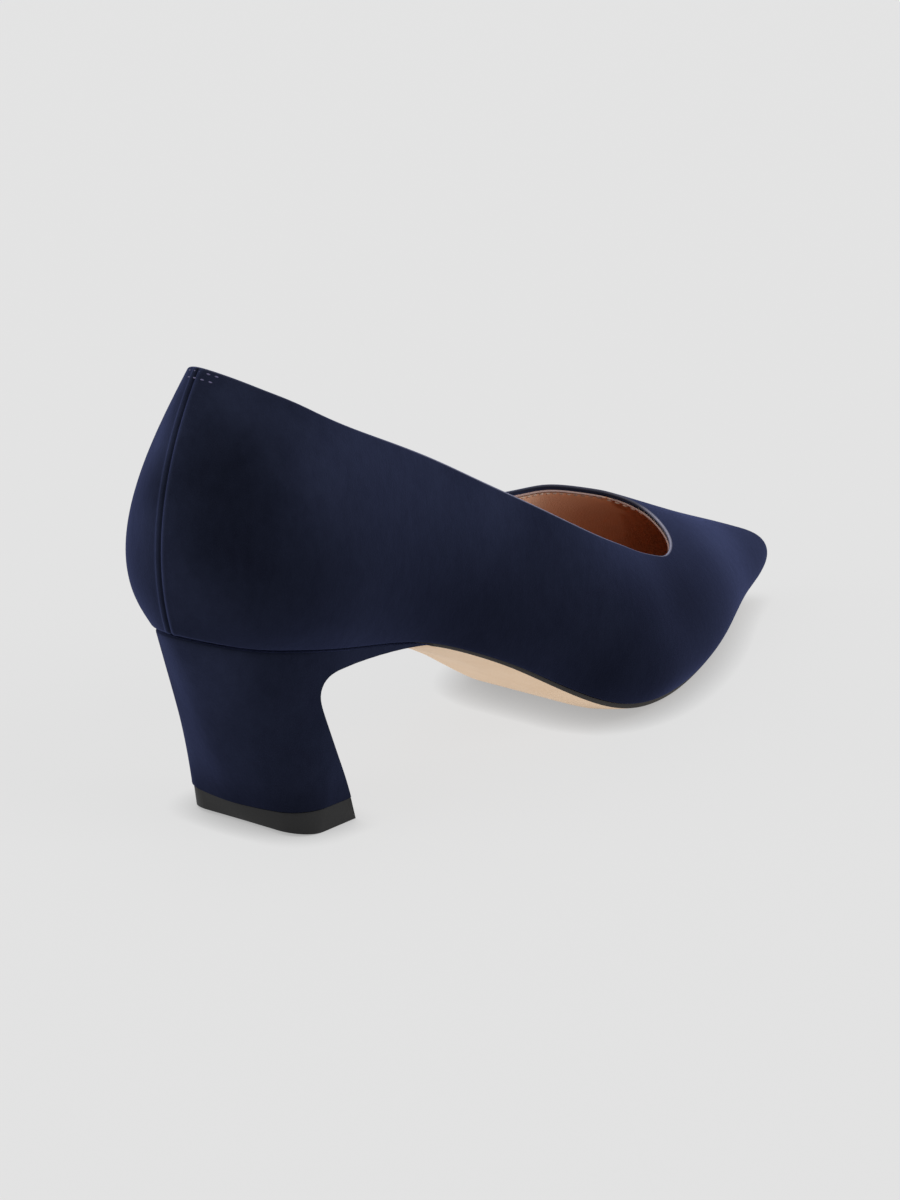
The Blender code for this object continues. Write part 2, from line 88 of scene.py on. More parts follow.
# Ribs from the feather edge up to the ridge, from the middle of the back round the outer side first.
RIB_COLUMNS = ("along", "across", "ridge", "flare", "root", "crown")
RIBS = [
    (1.4, 0.0, 18.0, 19, 0.54, 0.31),
    (3.3, -15.8, 18.4, 31, 0.48, 0.17),
    (6.3, -26.6, 19.6, 43, 0.45, 0.05),
    (12.0, -34.6, 22.0, 43, 0.41, 0.04),
    (20.8, -38.1, 26.4, 34, 0.36, 0.09),
    (34.0, -39.5, 37.6, 23, 0.32, 0.33),
    (48.0, -43.5, 49.6, 28, 0.36, 0.44),
    (60.0, -49.6, 61.6, 39, 0.42, 0.48),
    (70.1, -42.8, 71.2, 42, 0.42, 0.575),
    (82.0, -25.6, 82.4, 41, 0.44, 0.56),
    (92.7, -5.4, 91.6, 43, 0.545, 0.63),
    (98.4, 2.8, 95.2, 43, 0.573, 0.683),
    (100.1, 7.2, 96.0, 40, 0.59, 0.717),
    (98.7, 13.2, 95.2, 44, 0.555, 0.688),
    (93.3, 23.1, 91.6, 44, 0.525, 0.66),
    (83.2, 38.7, 82.4, 40, 0.44, 0.64),
    (72.8, 50.8, 72.0, 33, 0.51, 0.77),
    (63.2, 50.0, 63.2, 26, 0.28, 0.56),
    (50.0, 32.3, 51.2, 28, 0.36, 0.55),
    (36.0, 28.2, 38.8, 24, 0.32, 0.38),
    (21.6, 33.6, 26.8, 34, 0.36, 0.10),
    (12.0, 33.3, 22.0, 43, 0.41, 0.04),
    (6.3, 25.8, 19.6, 43, 0.45, 0.05),
    (3.3, 15.8, 18.4, 31, 0.48, 0.17),
]
TOE_TIP_RIB = 12
# Topline: way round the feather edge in percent of the length, and share of the rib there in percent.
TOPLINE = [
    (80.6, 93.9),
    (81.3, 86.6),
    (81.2, 78.2),
    (80.4, 69.2),
    (78.7, 61.8),
    (76.3, 57.4),
    (73.6, 55.1),
    (70.6, 54.4),
    (64.8, 51.4),
    (59.9, 46.7),
    (56.5, 43.1),
    (50.5, 38.8),
    (44.4, 37.1),
    (36.4, 37.8),
    (30.6, 39.7),
    (23.8, 43.3),
    (15.4, 49.2),
    (9.2, 53.0),
    (4.5, 53.2),
    (0.0, 51.7),
    (-4.5, 53.2),
    (-9.0, 53.3),
    (-15.3, 50.0),
    (-23.8, 44.9),
    (-30.6, 41.7),
    (-36.4, 40.0),
    (-44.2, 39.7),
    (-50.2, 42.1),
    (-56.6, 48.3),
    (-62.8, 56.5),
    (-71.3, 70.3),
    (-74.4, 78.9),
    (-77.2, 86.2),
    (-79.5, 92.1),
]
THROAT = LENGTH * 77.2 * PERCENT
THROAT_SPREAD = 20.0  # how far the feet of the throat's columns run ahead of it
TURN_WAY = 20.0  # extra way for each radian of turn, so that the topline's curves have more columns
SEAM_WAY = 40.0  # extra way for the columns beside the back seam
SEAM_REACH = 2.2
FEET_EASE = (0.4, 0.9)  # shares of the way to the throat between which the columns' feet move ahead
TOE_CROWDING = 0.5  # how much closer the columns stand at the toe's tip
RIB_SAMPLES = 2001
TOPLINE_SAMPLES = 6001
COLLAR_COLUMNS = 380
TOE_COLUMNS = 70
UPPER_ROWS = 44
BACK_STEPS = 40
MERGE = 0.02  # how near to each other points are joined
NO_LENGTH = 1e-9
TURN_UNDER = 1.4  # radius of the bottom edge
TURN_STEPS = 5
MARGIN = 3.0  # width of the strip turned in under the insole
FOLD = 1.1  # thickness of the folded top edge
FOLD_STEPS = 10
FOLD_DEPTH = 2.0  # how far the fold runs down inside
FOLD_EVENING = 12  # rounds that even out the fold's directions
RIM_DROP = 0.1  # percent, of the fold's root under the topline
RIM_MIDDLE = math.radians(65)  # round the fold, of the burnished line of nap that carries a painted highlight
RIM_SPREAD = math.radians(40)
RIM_HIGHLIGHT_ALONG = [(0, 0.2), (0.025, 0.25), (0.05, 1), (0.31, 1), (0.36, 0.15), (1, 0.15)]  # share of the loop, strength of the painted highlight
SUEDE_THICK = 0.5
BACK_END = 0.2 * LENGTH  # of the part that the back seam is on
SEAM_DEPTH = 0.34
SEAM_WIDTH = 0.35
SEAM_LIP = 0.18
SEAM_LIP_PLACE = 1.1
SEAM_LIP_WIDTH = 0.5
SEAM_LIP_HIGHLIGHT = 0.4  # painted highlight on the raised lips beside the seam
# Patches of painted light and shade, laid into the nap's colour and sheen: way round and share of the rib in
# percent, reach, change.
UPPER_LIGHT_AND_SHADE_PATCHES = [
    (-1.8, 20.0, 7.0, 0.5),
    (-1.0, 36.0, 6.5, 0.75),
    (1.6, 14.0, 7.0, 0.3),
    (1.6, 24.0, 7.0, 0.3),
    (0.8, 42.0, 5.0, 0.4),
    (3.5, 8.0, 12.0, 0.3),
    (3.0, 51.0, 7.0, 0.6),
    (7.0, 50.0, 7.0, 0.4),
    (5.5, 29.0, 12.0, -0.25),
    (6.5, 38.0, 9.0, -0.25),
    (16.0, 43.0, 16.0, 0.7),
    (27.0, 42.0, 22.0, 0.6),
    (41.0, 36.0, 18.0, 0.6),
    (54.0, 38.0, 16.0, 0.35),
    (63.0, 37.0, 12.0, -0.2),
    (14.0, 19.0, 14.0, -0.2),
    (30.0, 14.0, 22.0, -0.15),
    (39.0, 6.0, 24.0, -0.35),
    (55.0, 2.0, 11.0, -0.25),
    (58.0, 12.0, 28.0, -0.15),
    (63.0, 3.0, 11.0, -0.3),
    (71.0, 40.0, 14.0, -0.25),
    (77.0, 36.0, 22.0, -0.3),
    (92.0, 60.0, 15.0, 0.8),
]


def smooth(knots, values, at, closed=False):
    """Cubic curve through values at the knots, with continuous curvature, read at the given places."""
    knots = np.asarray(knots, float)
    values = np.asarray(values, float).reshape(len(knots), -1)
    at = np.asarray(at, float)
    span = np.diff(knots)
    rise = np.diff(values, axis=0) / span[:, None]
    system = np.zeros((len(knots), len(knots)))
    right = np.zeros_like(values)
    for i in range(1, len(knots) - 1):
        system[i, i - 1 : i + 2] = span[i - 1], 2 * (span[i - 1] + span[i]), span[i]
        right[i] = 6 * (rise[i] - rise[i - 1])
    if closed:
        system[0, [0, -1]] = 1, -1
        system[-1, [0, 1, -2]] = 2 * (span[0] + span[-1]), span[0], span[-1]
        right[-1] = 6 * (rise[0] - rise[-1])
    else:
        system[0, 0] = system[-1, -1] = 1
    bend = np.linalg.solve(system, right)
    i = np.clip(np.searchsorted(knots, at, side="right") - 1, 0, len(knots) - 2)
    width = span[i][:, None]
    after = (at - knots[i])[:, None]
    before = width - after
    curve = (bend[i] * before**3 + bend[i + 1] * after**3) / (6 * width)
    curve += (values[i] / width - bend[i] * width / 6) * before
    curve += (values[i + 1] / width - bend[i + 1] * width / 6) * after
    return curve


PROFILE_SIZES = np.array(PROFILE) * PERCENT * (LENGTH, HEEL_HEIGHT)
RIDGE_SIZES = np.array(RIDGE) * PERCENT * (LENGTH, BALL_WIDTH, COLLAR_HEIGHT)
RIB_UNITS = (PERCENT * LENGTH, PERCENT * BALL_WIDTH, PERCENT * LENGTH, 1, 1, 1)
RIB_SIZES = np.array(RIBS + RIBS[:1]) * RIB_UNITS
RIDGE_COLUMN = RIB_COLUMNS.index("ridge")
RIDGE_ENDS = RIB_SIZES[[0, TOE_TIP_RIB], RIDGE_COLUMN]


def way_along(points):
    return np.concatenate([[0], np.cumsum(np.linalg.norm(np.diff(points, axis=0), axis=1))])


RIB_PLACES = way_along(RIB_SIZES[:, :2])
ROUND = RIB_PLACES[-1]
TOE_TIP = RIB_PLACES[TOE_TIP_RIB]


def feather_height(x):
    x = np.clip(np.ravel(x), *PROFILE_SIZES[[0, -1], 0])
    return smooth(PROFILE_SIZES[:, 0], PROFILE_SIZES[:, 1], x)[:, 0]


def ribs_at(places):
    rows = smooth(RIB_PLACES, RIB_SIZES, np.mod(places, ROUND), closed=True)
    rows[:, RIDGE_COLUMN] = np.clip(rows[:, RIDGE_COLUMN], *RIDGE_ENDS)
    return rows


def last_points(places, shares):
    """Points of the last at ways round the feather edge and shares of the ribs, up to 1 on the ridge."""
    foot_x, foot_y, ridge_x, flare, root, crown = ribs_at(np.ravel(places)).T
    share = np.ravel(shares)
    foot_z = feather_height(foot_x)
    ridge_y, ridge_z = smooth(RIDGE_SIZES[:, 0], RIDGE_SIZES[:, 1:], ridge_x).T
    step = 0.5
    heights = [smooth(RIDGE_SIZES[:, 0], RIDGE_SIZES[:, 2], ridge_x + way)[:, 0] for way in (-step, step)]
    slope = (heights[1] - heights[0]) / (2 * step)
    reach = np.hypot(foot_x - ridge_x, foot_y - ridge_y)
    out_x = (foot_x - ridge_x) / reach
    out_y = (foot_y - ridge_y) / reach
    lean = root * (ridge_z - foot_z)
    flat = crown * reach
    start = (1 - share) ** 3
    near_start = 3 * share * (1 - share) ** 2
    near_end = 3 * share**2 * (1 - share)
    end = share**3
    out = reach * start + (reach + lean * np.sin(np.radians(flare))) * near_start + flat * near_end
    z = foot_z * start + (foot_z + lean * np.cos(np.radians(flare))) * near_start
    z += (ridge_z + slope * out_x * flat) * near_end + ridge_z * end
    points = np.stack([ridge_x + out_x * out, ridge_y + out_y * out, z], -1)
    return points.reshape(np.shape(places) + (3,))


def places_under_ridge(ridge_x):
    """Ways round the feather edge to the outer and the inner rib that meet at each x of the ridge."""
    outer = np.linspace(0, TOE_TIP, RIB_SAMPLES)
    inner = np.linspace(0, TOE_TIP - ROUND, RIB_SAMPLES)
    return [np.interp(ridge_x, ribs_at(side)[:, RIDGE_COLUMN], side) for side in (outer, inner)]


def collar_columns(count, seam_way, drop):
    """Feet, ends and shares of columns up to the topline, from the throat round the back to the throat.

    The columns end about drop percent under the topline.
    """
    throat = places_under_ridge(THROAT + drop)
    rows = (np.array(TOPLINE) - (0, drop)) * PERCENT * LENGTH
    rows = np.array([(throat[0], LENGTH), *rows, (throat[1], LENGTH)])
    way = way_along(rows)
    ends, shares = smooth(way, rows, np.linspace(0, way[-1], TOPLINE_SAMPLES)).T
    shares = np.minimum(shares / LENGTH, 1)
    points = last_points(ends, shares)
    steps = np.diff(points, axis=0)
    steps /= np.linalg.norm(steps, axis=1)[:, None]
    turns = np.arccos(np.clip((steps[1:] * steps[:-1]).sum(axis=1), -1, 1))
    way = way_along(points)
    back = np.interp(0, -ends, way)
    to_throat = np.abs(way - back) / np.where(way < back, back, way[-1] - back)
    even = np.where(way < back, throat[0] + THROAT_SPREAD, throat[1] - THROAT_SPREAD) * to_throat
    ease = np.clip((to_throat - FEET_EASE[0]) / (FEET_EASE[1] - FEET_EASE[0]), 0, 1)
    feet = ends + (even - ends) * ease**2 * (3 - 2 * ease)
    way += TURN_WAY * np.concatenate([[0], np.cumsum(turns), [turns.sum()]])
    way += seam_way * np.tanh(-ends / SEAM_REACH)
    at = np.linspace(way[0], way[-1], count + 1)
    return [np.interp(at, way, value) for value in (feet, ends, shares)]


def toe_columns(count, drop):
    """Feet and ends of columns that meet on the ridge, from the throat's inner side round to its outer."""
    share = np.linspace(0, 1, count + 1)
    throat = places_under_ridge(THROAT + drop)[0]
    outer = throat + (TOE_TIP - throat) * share * (1 + TOE_CROWDING * (1 - share))
    inner = places_under_ridge(ribs_at(outer)[:, RIDGE_COLUMN])[1]
    spread = THROAT_SPREAD * (1 - share) ** 2
    ends = np.concatenate([inner, outer[-2::-1] - ROUND])
    return ends + np.concatenate([-spread, spread[-2::-1]]), ends


def column_places(feet, ends, shares, rows):
    """Ways and shares up the columns at rows between 0 at their feet and 1 at their ends."""
    return feet[:, None] + (ends - feet)[:, None] * rows**3, shares[:, None] * rows


def column_points(feet, ends, shares, rows):
    return last_points(*column_places(feet, ends, shares, rows))


def unit(vectors):
    return vectors / np.maximum(np.linalg.norm(vectors, axis=-1, keepdims=True), NO_LENGTH)


def outward(points):
    """Directions away from the foot at each point of a grid of columns by rows."""
    return unit(np.cross(np.gradient(points, axis=1), np.gradient(points, axis=0)))


def in_frame(points):
    """Millimetres on the last as metres in the part's frame."""
    return (np.asarray(points) - LAST_MIDDLE) * MILLIMETRE


def add_grid(bm, points):
    """Adds a grid of faces through points, columns by rows, and returns its vertices in that order."""
    columns, rows = points.shape[:2]
    made = bmesh.ops.create_grid(bm, x_segments=columns - 1, y_segments=rows - 1, size=1)["verts"]
    places = in_frame(points).transpose(1, 0, 2).reshape(-1, 3)
    for vert, place in zip(made, places):
        vert.co = place
    return np.array(made, object).reshape(rows, columns).T


def add_piece(name, bm, materials, slot, *nodes):
    """Makes a finished piece of the shoe that stands for the named CAD nodes."""
    mesh = bpy.data.meshes.new(name)
    bm.to_mesh(mesh)
    bm.free()
    mesh.shade_smooth()
    piece = bpy.data.objects.new(name, mesh)
    bpy.context.scene.collection.objects.link(piece)
    for material in materials:
        mesh.materials.append(material)
    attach(piece, "root")
    if nodes:
        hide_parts(*nodes)
    return piece


def give_wall(piece, thick):
    """Gives a sheet its thickness, behind the side that its faces point to."""
    wall = piece.modifiers.new("wall", "SOLIDIFY")
    wall.thickness = thick * MILLIMETRE
    wall.offset = -1


def turned_under(feet, outwards):
    """Rows of the bottom edge, from the inside of its margin round to the sheet's first row."""
    inward = unit(outwards * (-1, -1, 0))[:, None]
    down = np.array((0.0, 0.0, -1.0))
    turn = np.linspace(1, 0, TURN_STEPS + 1)[:-1, None]
    roll = unit(outwards[:, None] * (1 - turn) + down * turn)
    round_edge = (feet - outwards * TURN_UNDER)[:, None] + roll * TURN_UNDER
    return np.concatenate([round_edge[:, :1] + inward * MARGIN, round_edge], 1)


def with_back_seam(points, outwards):
    """The sheet pressed in along the back seam, with its two sides standing up beside the stitches."""
    aside = np.abs(points[..., 1])
    near_heel = points[..., 0] < BACK_END
    press = -SEAM_DEPTH * np.exp(-((aside / SEAM_WIDTH) ** 2))
    press += SEAM_LIP * np.exp(-(((aside - SEAM_LIP_PLACE) / SEAM_LIP_WIDTH) ** 2))
    return points + outwards * (press * near_heel)[..., None]


def topline_frame(points, outwards):
    """Along, outward and onward directions at the topline, evened out round its loop."""
    edge = points[:, -1]
    along = np.gradient(edge, axis=0)
    along[0] = along[-1] = edge[1] - edge[-2]
    along = unit(along)
    out = outwards[:-1, -1]
    for _ in range(FOLD_EVENING):
        out = unit(np.roll(out, 1, 0) + 2 * out + np.roll(out, -1, 0))
    out = np.vstack([out, out[:1]])
    out = unit(out - along * (out * along).sum(axis=1, keepdims=True))
    onward = np.cross(along, out)
    onward *= np.sign((onward * (edge - points[:, -2])).sum())
    return edge, along, out, onward


collar = collar_columns(COLLAR_COLUMNS, SEAM_WAY, RIM_DROP)
back = [value[COLLAR_COLUMNS // 2][None] for value in collar]
back_length = way_along(column_points(*back, np.linspace(0, 1, BACK_STEPS + 1))[0])[-1]
rows = np.linspace(0.5 * TURN_UNDER / back_length, 1, UPPER_ROWS + 1)
collar_sheet = column_points(*collar, rows)
collar_out = outward(collar_sheet)
edge, edge_along, edge_out, edge_onward = topline_frame(collar_sheet, collar_out)
turn = np.linspace(0, np.pi, FOLD_STEPS + 1)[1:, None]
fold = edge_out[:, None] * (np.cos(turn) - 1) + edge_onward[:, None] * np.sin(turn)
fold = edge[:, None] + fold * FOLD / 2
fold_end = fold[:, -1:] - edge_onward[:, None] * FOLD_DEPTH
margin = turned_under(collar_sheet[:, 0], collar_out[:, 0])
margin_out = np.repeat(collar_out[:, :1], margin.shape[1], 1)
sheet = np.concatenate([margin, collar_sheet], 1)
sheet = with_back_seam(sheet, np.concatenate([margin_out, collar_out], 1))
toe_feet, toe_ends = toe_columns(TOE_COLUMNS, RIM_DROP)
toe_sheet = column_points(toe_feet, toe_ends, np.ones(len(toe_ends)), rows)
toe_sheet = np.concatenate([turned_under(toe_sheet[:, 0], outward(toe_sheet)[:, 0]), toe_sheet], 1)
toe_sheet[0, : margin.shape[1]] = sheet[-1, : margin.shape[1]]
toe_sheet[-1, : margin.shape[1]] = sheet[0, : margin.shape[1]]

bm = bmesh.new()
layers = [bm.verts.layers.float.new(name) for name in ("rim_highlight", "inside", "seam", "painted_light")]
rim_highlight_mask, inside_mask, seam_mask, painted_light_mask = layers
verts = add_grid(bm, np.concatenate([sheet, fold, fold_end], 1)[::-1])[::-1]
rim_highlight_along = np.interp(np.linspace(0, 1, COLLAR_COLUMNS + 1), *np.transpose(RIM_HIGHLIGHT_ALONG))
for row, angle in enumerate(turn[:, 0]):
    for vert, highlight in zip(verts[:, sheet.shape[1] + row], rim_highlight_along):
        vert[rim_highlight_mask] = highlight * math.exp(-(((angle - RIM_MIDDLE) / RIM_SPREAD) ** 2))
        vert[inside_mask] = angle / math.pi
for vert in verts[:, -1]:
    vert[inside_mask] = 1
for vert, place in zip(verts[:, : sheet.shape[1]].ravel(), sheet.reshape(-1, 3)):
    if place[0] < BACK_END:
        vert[seam_mask] = math.exp(-((place[1] / SEAM_WIDTH) ** 2))
add_grid(bm, toe_sheet[::-1])
bmesh.ops.remove_doubles(bm, verts=bm.verts, dist=MERGE * MILLIMETRE)


def on_last(vert):
    return vert.co / MILLIMETRE + Vector(LAST_MIDDLE)


def painted_light_by(vert, spots, reaches, changes):
    """Painted light and shade at a vertex, summed over all patches."""
    apart = np.linalg.norm(spots - vert.co, axis=1) / (reaches * MILLIMETRE)
    return (changes * np.exp(-(apart**2))).sum()


spots, spot_shares, reaches, changes = np.transpose(UPPER_LIGHT_AND_SHADE_PATCHES)
spots = in_frame(last_points(spots * PERCENT * LENGTH, spot_shares * PERCENT))
# painted light and shade on the upper, from the patches and on the seam's raised lips
for vert in bm.verts:
    vert[painted_light_mask] = painted_light_by(vert, spots, reaches, changes)
    place = on_last(vert)
    if place.x < BACK_END:
        aside = (abs(place.y) - SEAM_LIP_PLACE) / SEAM_LIP_WIDTH
        vert[painted_light_mask] += SEAM_LIP_HIGHLIGHT * math.exp(-(aside**2))


def new_group(name, inputs, outputs):
    """Empty shader group with named sockets: its tree, and its input and output nodes."""
    tree = bpy.data.node_groups.new(name, "ShaderNodeTree")
    for socket, kind, value in inputs:
        made = tree.interface.new_socket(socket, in_out="INPUT", socket_type="NodeSocket" + kind)
        made.default_value = value
    for socket, kind in outputs:
        tree.interface.new_socket(socket, in_out="OUTPUT", socket_type="NodeSocket" + kind)
    return tree, tree.nodes.new("NodeGroupInput"), tree.nodes.new("NodeGroupOutput")


def node(tree, kind, links=None, **settings):
    """Adds a node, sets its properties, and links or sets its inputs by name or number."""
    made = tree.nodes.new("ShaderNode" + kind)
    for name, value in settings.items():
        setattr(made, name, value)
    for socket, value in (links or {}).items():
        if isinstance(value, bpy.types.NodeSocket):
            tree.links.new(value, made.inputs[socket])
        else:
            made.inputs[socket].default_value = value
    return made


def noise(tree, coordinates, scale, detail, roughness, stretch=(1, 1, 1)):
    """Noise with features of about 1 / scale metres, longer where stretch is under 1."""
    stretched = node(tree, "Mapping", {"Vector": coordinates, "Scale": stretch})
    links = {"Vector": stretched.outputs[0], "Scale": scale, "Detail": detail, "Roughness": roughness}
    return node(tree, "TexNoise", links).outputs["Fac"]


def math_of(tree, operation, first, second):
    return node(tree, "Math", {0: first, 1: second}, operation=operation).outputs[0]


def mixed(tree, share, first, second):
    made = node(tree, "Mix", {"Factor": share}, data_type="RGBA")
    for socket, value in zip(("A", "B"), (first, second)):
        target = [item for item in made.inputs if item.name == socket and item.type == "RGBA"][0]
        if isinstance(value, bpy.types.NodeSocket):
            tree.links.new(value, target)
        else:
            target.default_value = value
    return [item for item in made.outputs if item.type == "RGBA"][0]


def stretched_range(tree, value, low, high):
    links = {"Value": value, "From Min": low, "From Max": high}
    return node(tree, "MapRange", links).outputs["Result"]


def mask_of(tree, name):
    """Values of one of the piece's own layers."""
    return node(tree, "Attribute", attribute_name=name).outputs["Fac"]


def coarse_and_fine(tree, coarse, fine):
    """Two sizes of unevenness in the nap, added up."""
    coarse = math_of(tree, "MULTIPLY", coarse, NAP_COARSE_SHARE)
    return math_of(tree, "ADD", coarse, math_of(tree, "MULTIPLY", fine, NAP_FINE_SHARE))


BLACK = (0, 0, 0, 1)
NAP_PATCHES = (55, 4, 0.6)  # scale, detail and roughness of the noise
NAP_PATCH_RANGE = (0.30, 0.72)
NAP_STROKES = (420, 3, 0.6)
NAP_STROKE_STRETCH = (1, 1, 0.6)
NAP_PILE = (2600, 2, 0.7)
NAP_FINE_RANGE = (0.34, 0.66)
NAP_COARSE_SHARE = 0.6
NAP_FINE_SHARE = 0.4
suede_nap, nap_in, nap_out = new_group(
    "suede nap",
    [("Brushed", "Color", BLACK), ("Deep", "Color", BLACK), ("Pile", "Float", 1)],
    [("Color", "Color"), ("Height", "Float")],
)
place = node(suede_nap, "TexCoord").outputs["Object"]
patches = stretched_range(suede_nap, noise(suede_nap, place, *NAP_PATCHES), *NAP_PATCH_RANGE)
strokes = noise(suede_nap, place, *NAP_STROKES, NAP_STROKE_STRETCH)
pile = noise(suede_nap, place, *NAP_PILE)
strokes_and_pile = coarse_and_fine(suede_nap, strokes, pile)
fine = stretched_range(suede_nap, strokes_and_pile, *NAP_FINE_RANGE)
share = coarse_and_fine(suede_nap, patches, fine)
nap_color = mixed(suede_nap, share, nap_in.outputs["Deep"], nap_in.outputs["Brushed"])
nap_height = math_of(suede_nap, "MULTIPLY", strokes_and_pile, nap_in.outputs["Pile"])
suede_nap.links.new(nap_color, nap_out.inputs["Color"])
suede_nap.links.new(nap_height, nap_out.inputs["Height"])


def new_material(name):
    material = bpy.data.materials.new(name)
    material.use_nodes = True
    return material, material.node_tree, material.node_tree.nodes["Principled BSDF"]


def set_constants(shader, **values):
    """Sets sockets of the shader that are the same all over the surface."""
    for socket, value in values.items():
        shader.inputs[socket.replace("_", " ")].default_value = value


def raise_surface(tree, shader, height, strength, distance):
    bump = node(tree, "Bump", {"Height": height, "Strength": strength, "Distance": distance})
    tree.links.new(bump.outputs[0], shader.inputs["Normal"])


SUEDE_BRUSHED = (0.0075, 0.0093, 0.0175, 1)
SUEDE_DEEP = (0.0036, 0.0044, 0.0083, 1)
SUEDE_SHEEN = (0.119, 0.148, 0.355, 1)
NAP_STRENGTH = 0.5
NAP_DEPTH = 0.0003


def suede_shader(name):
    """Navy suede: dark fibres with a soft bright bloom at grazing angles; painted light and shade from a
    layer of the piece scale its colour and sheen.
    """
    material, tree, shader = new_material(name)
    nap = node(tree, "Group", node_tree=suede_nap)
    nap.inputs["Brushed"].default_value = SUEDE_BRUSHED
    nap.inputs["Deep"].default_value = SUEDE_DEEP
    set_constants(shader, Roughness=0.95, Sheen_Weight=0.5, Sheen_Roughness=0.5, Specular_IOR_Level=0.01)
    # painted light and shade: the layer's value scales the nap's colour and the sheen's tint
    lift = math_of(tree, "ADD", mask_of(tree, "painted_light"), 1)
    color, bloom = (
        node(tree, "VectorMath", {0: value, "Scale": lift}, operation="SCALE").outputs[0]
        for value in (nap.outputs["Color"], SUEDE_SHEEN[:3])
    )
    tree.links.new(bloom, shader.inputs["Sheen Tint"])
    raise_surface(tree, shader, nap.outputs["Height"], NAP_STRENGTH, NAP_DEPTH)
    return material, tree, shader, color


RIM_HIGHLIGHT_COLOR = (0.24, 0.24, 0.30, 1)
INSIDE_COLOR = (0.010, 0.011, 0.016, 1)
SEAM_COLOR = (0.003, 0.004, 0.008, 1)
SEAM_SHADE = 0.3
upper_material, tree, shader, color = suede_shader("upper suede")
color = mixed(tree, math_of(tree, "MULTIPLY", mask_of(tree, "seam"), SEAM_SHADE), color, SEAM_COLOR)
color = mixed(tree, mask_of(tree, "inside"), color, INSIDE_COLOR)
# burnished crest of the fold, lighter in itself, with a painted highlight that is strongest where the loop
# faces the light
color = mixed(tree, mask_of(tree, "rim_highlight"), color, RIM_HIGHLIGHT_COLOR)
tree.links.new(color, shader.inputs["Base Color"])
upper = add_piece("upper_suede", bm, [upper_material], "upper_suede", "upper")
give_wall(upper, SUEDE_THICK)

# Lining. Smooth tan leather inside the whole upper, glued to the stiffener. It is cut off just under the
# folded edge of the suede, so its pale raw edge shows inside that, and a row of stitches holds both.
LINING_OFFSET = WALL - 0.05
LINING_THICK = 0.5
LINING_DROP = 0.35  # percent, of its edge under the topline
LINING_FOOT = 0.02  # share of the columns where the lining begins
LINING_ROWS = 30
LINING_LAST_ROWS = (0.975, 0.985, 0.993, 1)
LINING_COLUMNS = 240
LINING_TOE_COLUMNS = 40
LINING_MERGE = 0.001
SLOPE_SHARES = (0.01, 0.97)  # shares of the ribs between which the surface's slope is read
SLOPE_WAY = 0.5
SLOPE_SHARE = 0.01
# Share of the loop, and how far down the light painted near the lining's top reaches there.
PAINTED_LIGHT_DEPTHS = [(0, 10), (0.8, 12), (0.86, 32), (0.91, 28), (0.95, 10), (1, 10)]
lining_rows = np.linspace(LINING_FOOT, LINING_LAST_ROWS[0], LINING_ROWS)
lining_rows = np.concatenate([lining_rows, LINING_LAST_ROWS[1:]])


def moved_in(feet, ends, shares, rows, depth):
    """Points up the columns, at a depth inside the surface of the last."""
    places, shares = column_places(feet, ends, shares, rows)
    near = np.clip(shares, *SLOPE_SHARES)
    along = last_points(places + SLOPE_WAY, near) - last_points(places - SLOPE_WAY, near)
    up = last_points(places, near + SLOPE_SHARE) - last_points(places, near - SLOPE_SHARE)
    return last_points(places, shares) - depth * unit(np.cross(along, up))


lining_collar = moved_in(*collar_columns(LINING_COLUMNS, 0, LINING_DROP), lining_rows, LINING_OFFSET)
toe_feet, toe_ends = toe_columns(LINING_TOE_COLUMNS, LINING_DROP)
lining_toe = moved_in(toe_feet, toe_ends, np.ones(len(toe_ends)), lining_rows, LINING_OFFSET)
lining_toe[:, -1] = (lining_toe[:, -1] + lining_toe[::-1, -1]) / 2
lining_collar[[0, -1], -1] = lining_toe[0, -1]
bm = bmesh.new()
raw_mask, groove_shade_mask, lining_light_mask = [bm.verts.layers.float.new(name) for name in ("raw", "groove_shade", "near")]
verts = add_grid(bm, lining_collar[::-1])[::-1]
painted_light_depths = np.interp(np.linspace(0, 1, LINING_COLUMNS + 1), *np.transpose(PAINTED_LIGHT_DEPTHS))
for column, points, painted_light_depth in zip(verts, lining_collar, painted_light_depths):
    column[-1][raw_mask] = 1
    column[-2][groove_shade_mask] = 1
    for vert, depth in zip(column, np.linalg.norm(points - points[-1], axis=1)):
        vert[lining_light_mask] = math.exp(-depth / painted_light_depth)
add_grid(bm, lining_toe[::-1])
bmesh.ops.remove_doubles(bm, verts=bm.verts, dist=LINING_MERGE * MILLIMETRE)
bmesh.ops.reverse_faces(bm, faces=bm.faces)

CLOUDS = (45, 4, 0.6)
CLOUD_RANGE = (0.3, 0.7)
PORE_RANGE = (0.0, 0.25)
PORE_STRENGTH = 0.3
LEATHER_ROUGH = 0.58
LEATHER_SMOOTHER = -0.1  # change of the roughness where the leather is lightest
leather_grain, grain_in, grain_out = new_group(
    "leather grain",
    [("Light", "Color", BLACK), ("Dark", "Color", BLACK), ("Pore Scale", "Float", 900)],
    [("Color", "Color"), ("Roughness", "Float"), ("Height", "Float")],
)
place = node(leather_grain, "TexCoord").outputs["Object"]
cloud = stretched_range(leather_grain, noise(leather_grain, place, *CLOUDS), *CLOUD_RANGE)
pore_links = {"Vector": place, "Scale": grain_in.outputs["Pore Scale"]}
pores = node(leather_grain, "TexVoronoi", pore_links, feature="DISTANCE_TO_EDGE").outputs["Distance"]
pores = stretched_range(leather_grain, pores, *PORE_RANGE)
leather_color = mixed(leather_grain, cloud, grain_in.outputs["Dark"], grain_in.outputs["Light"])
rough = math_of(leather_grain, "MULTIPLY", cloud, LEATHER_SMOOTHER)
rough = math_of(leather_grain, "ADD", rough, LEATHER_ROUGH)
leather_grain.links.new(leather_color, grain_out.inputs["Color"])
leather_grain.links.new(rough, grain_out.inputs["Roughness"])
leather_grain.links.new(pores, grain_out.inputs["Height"])


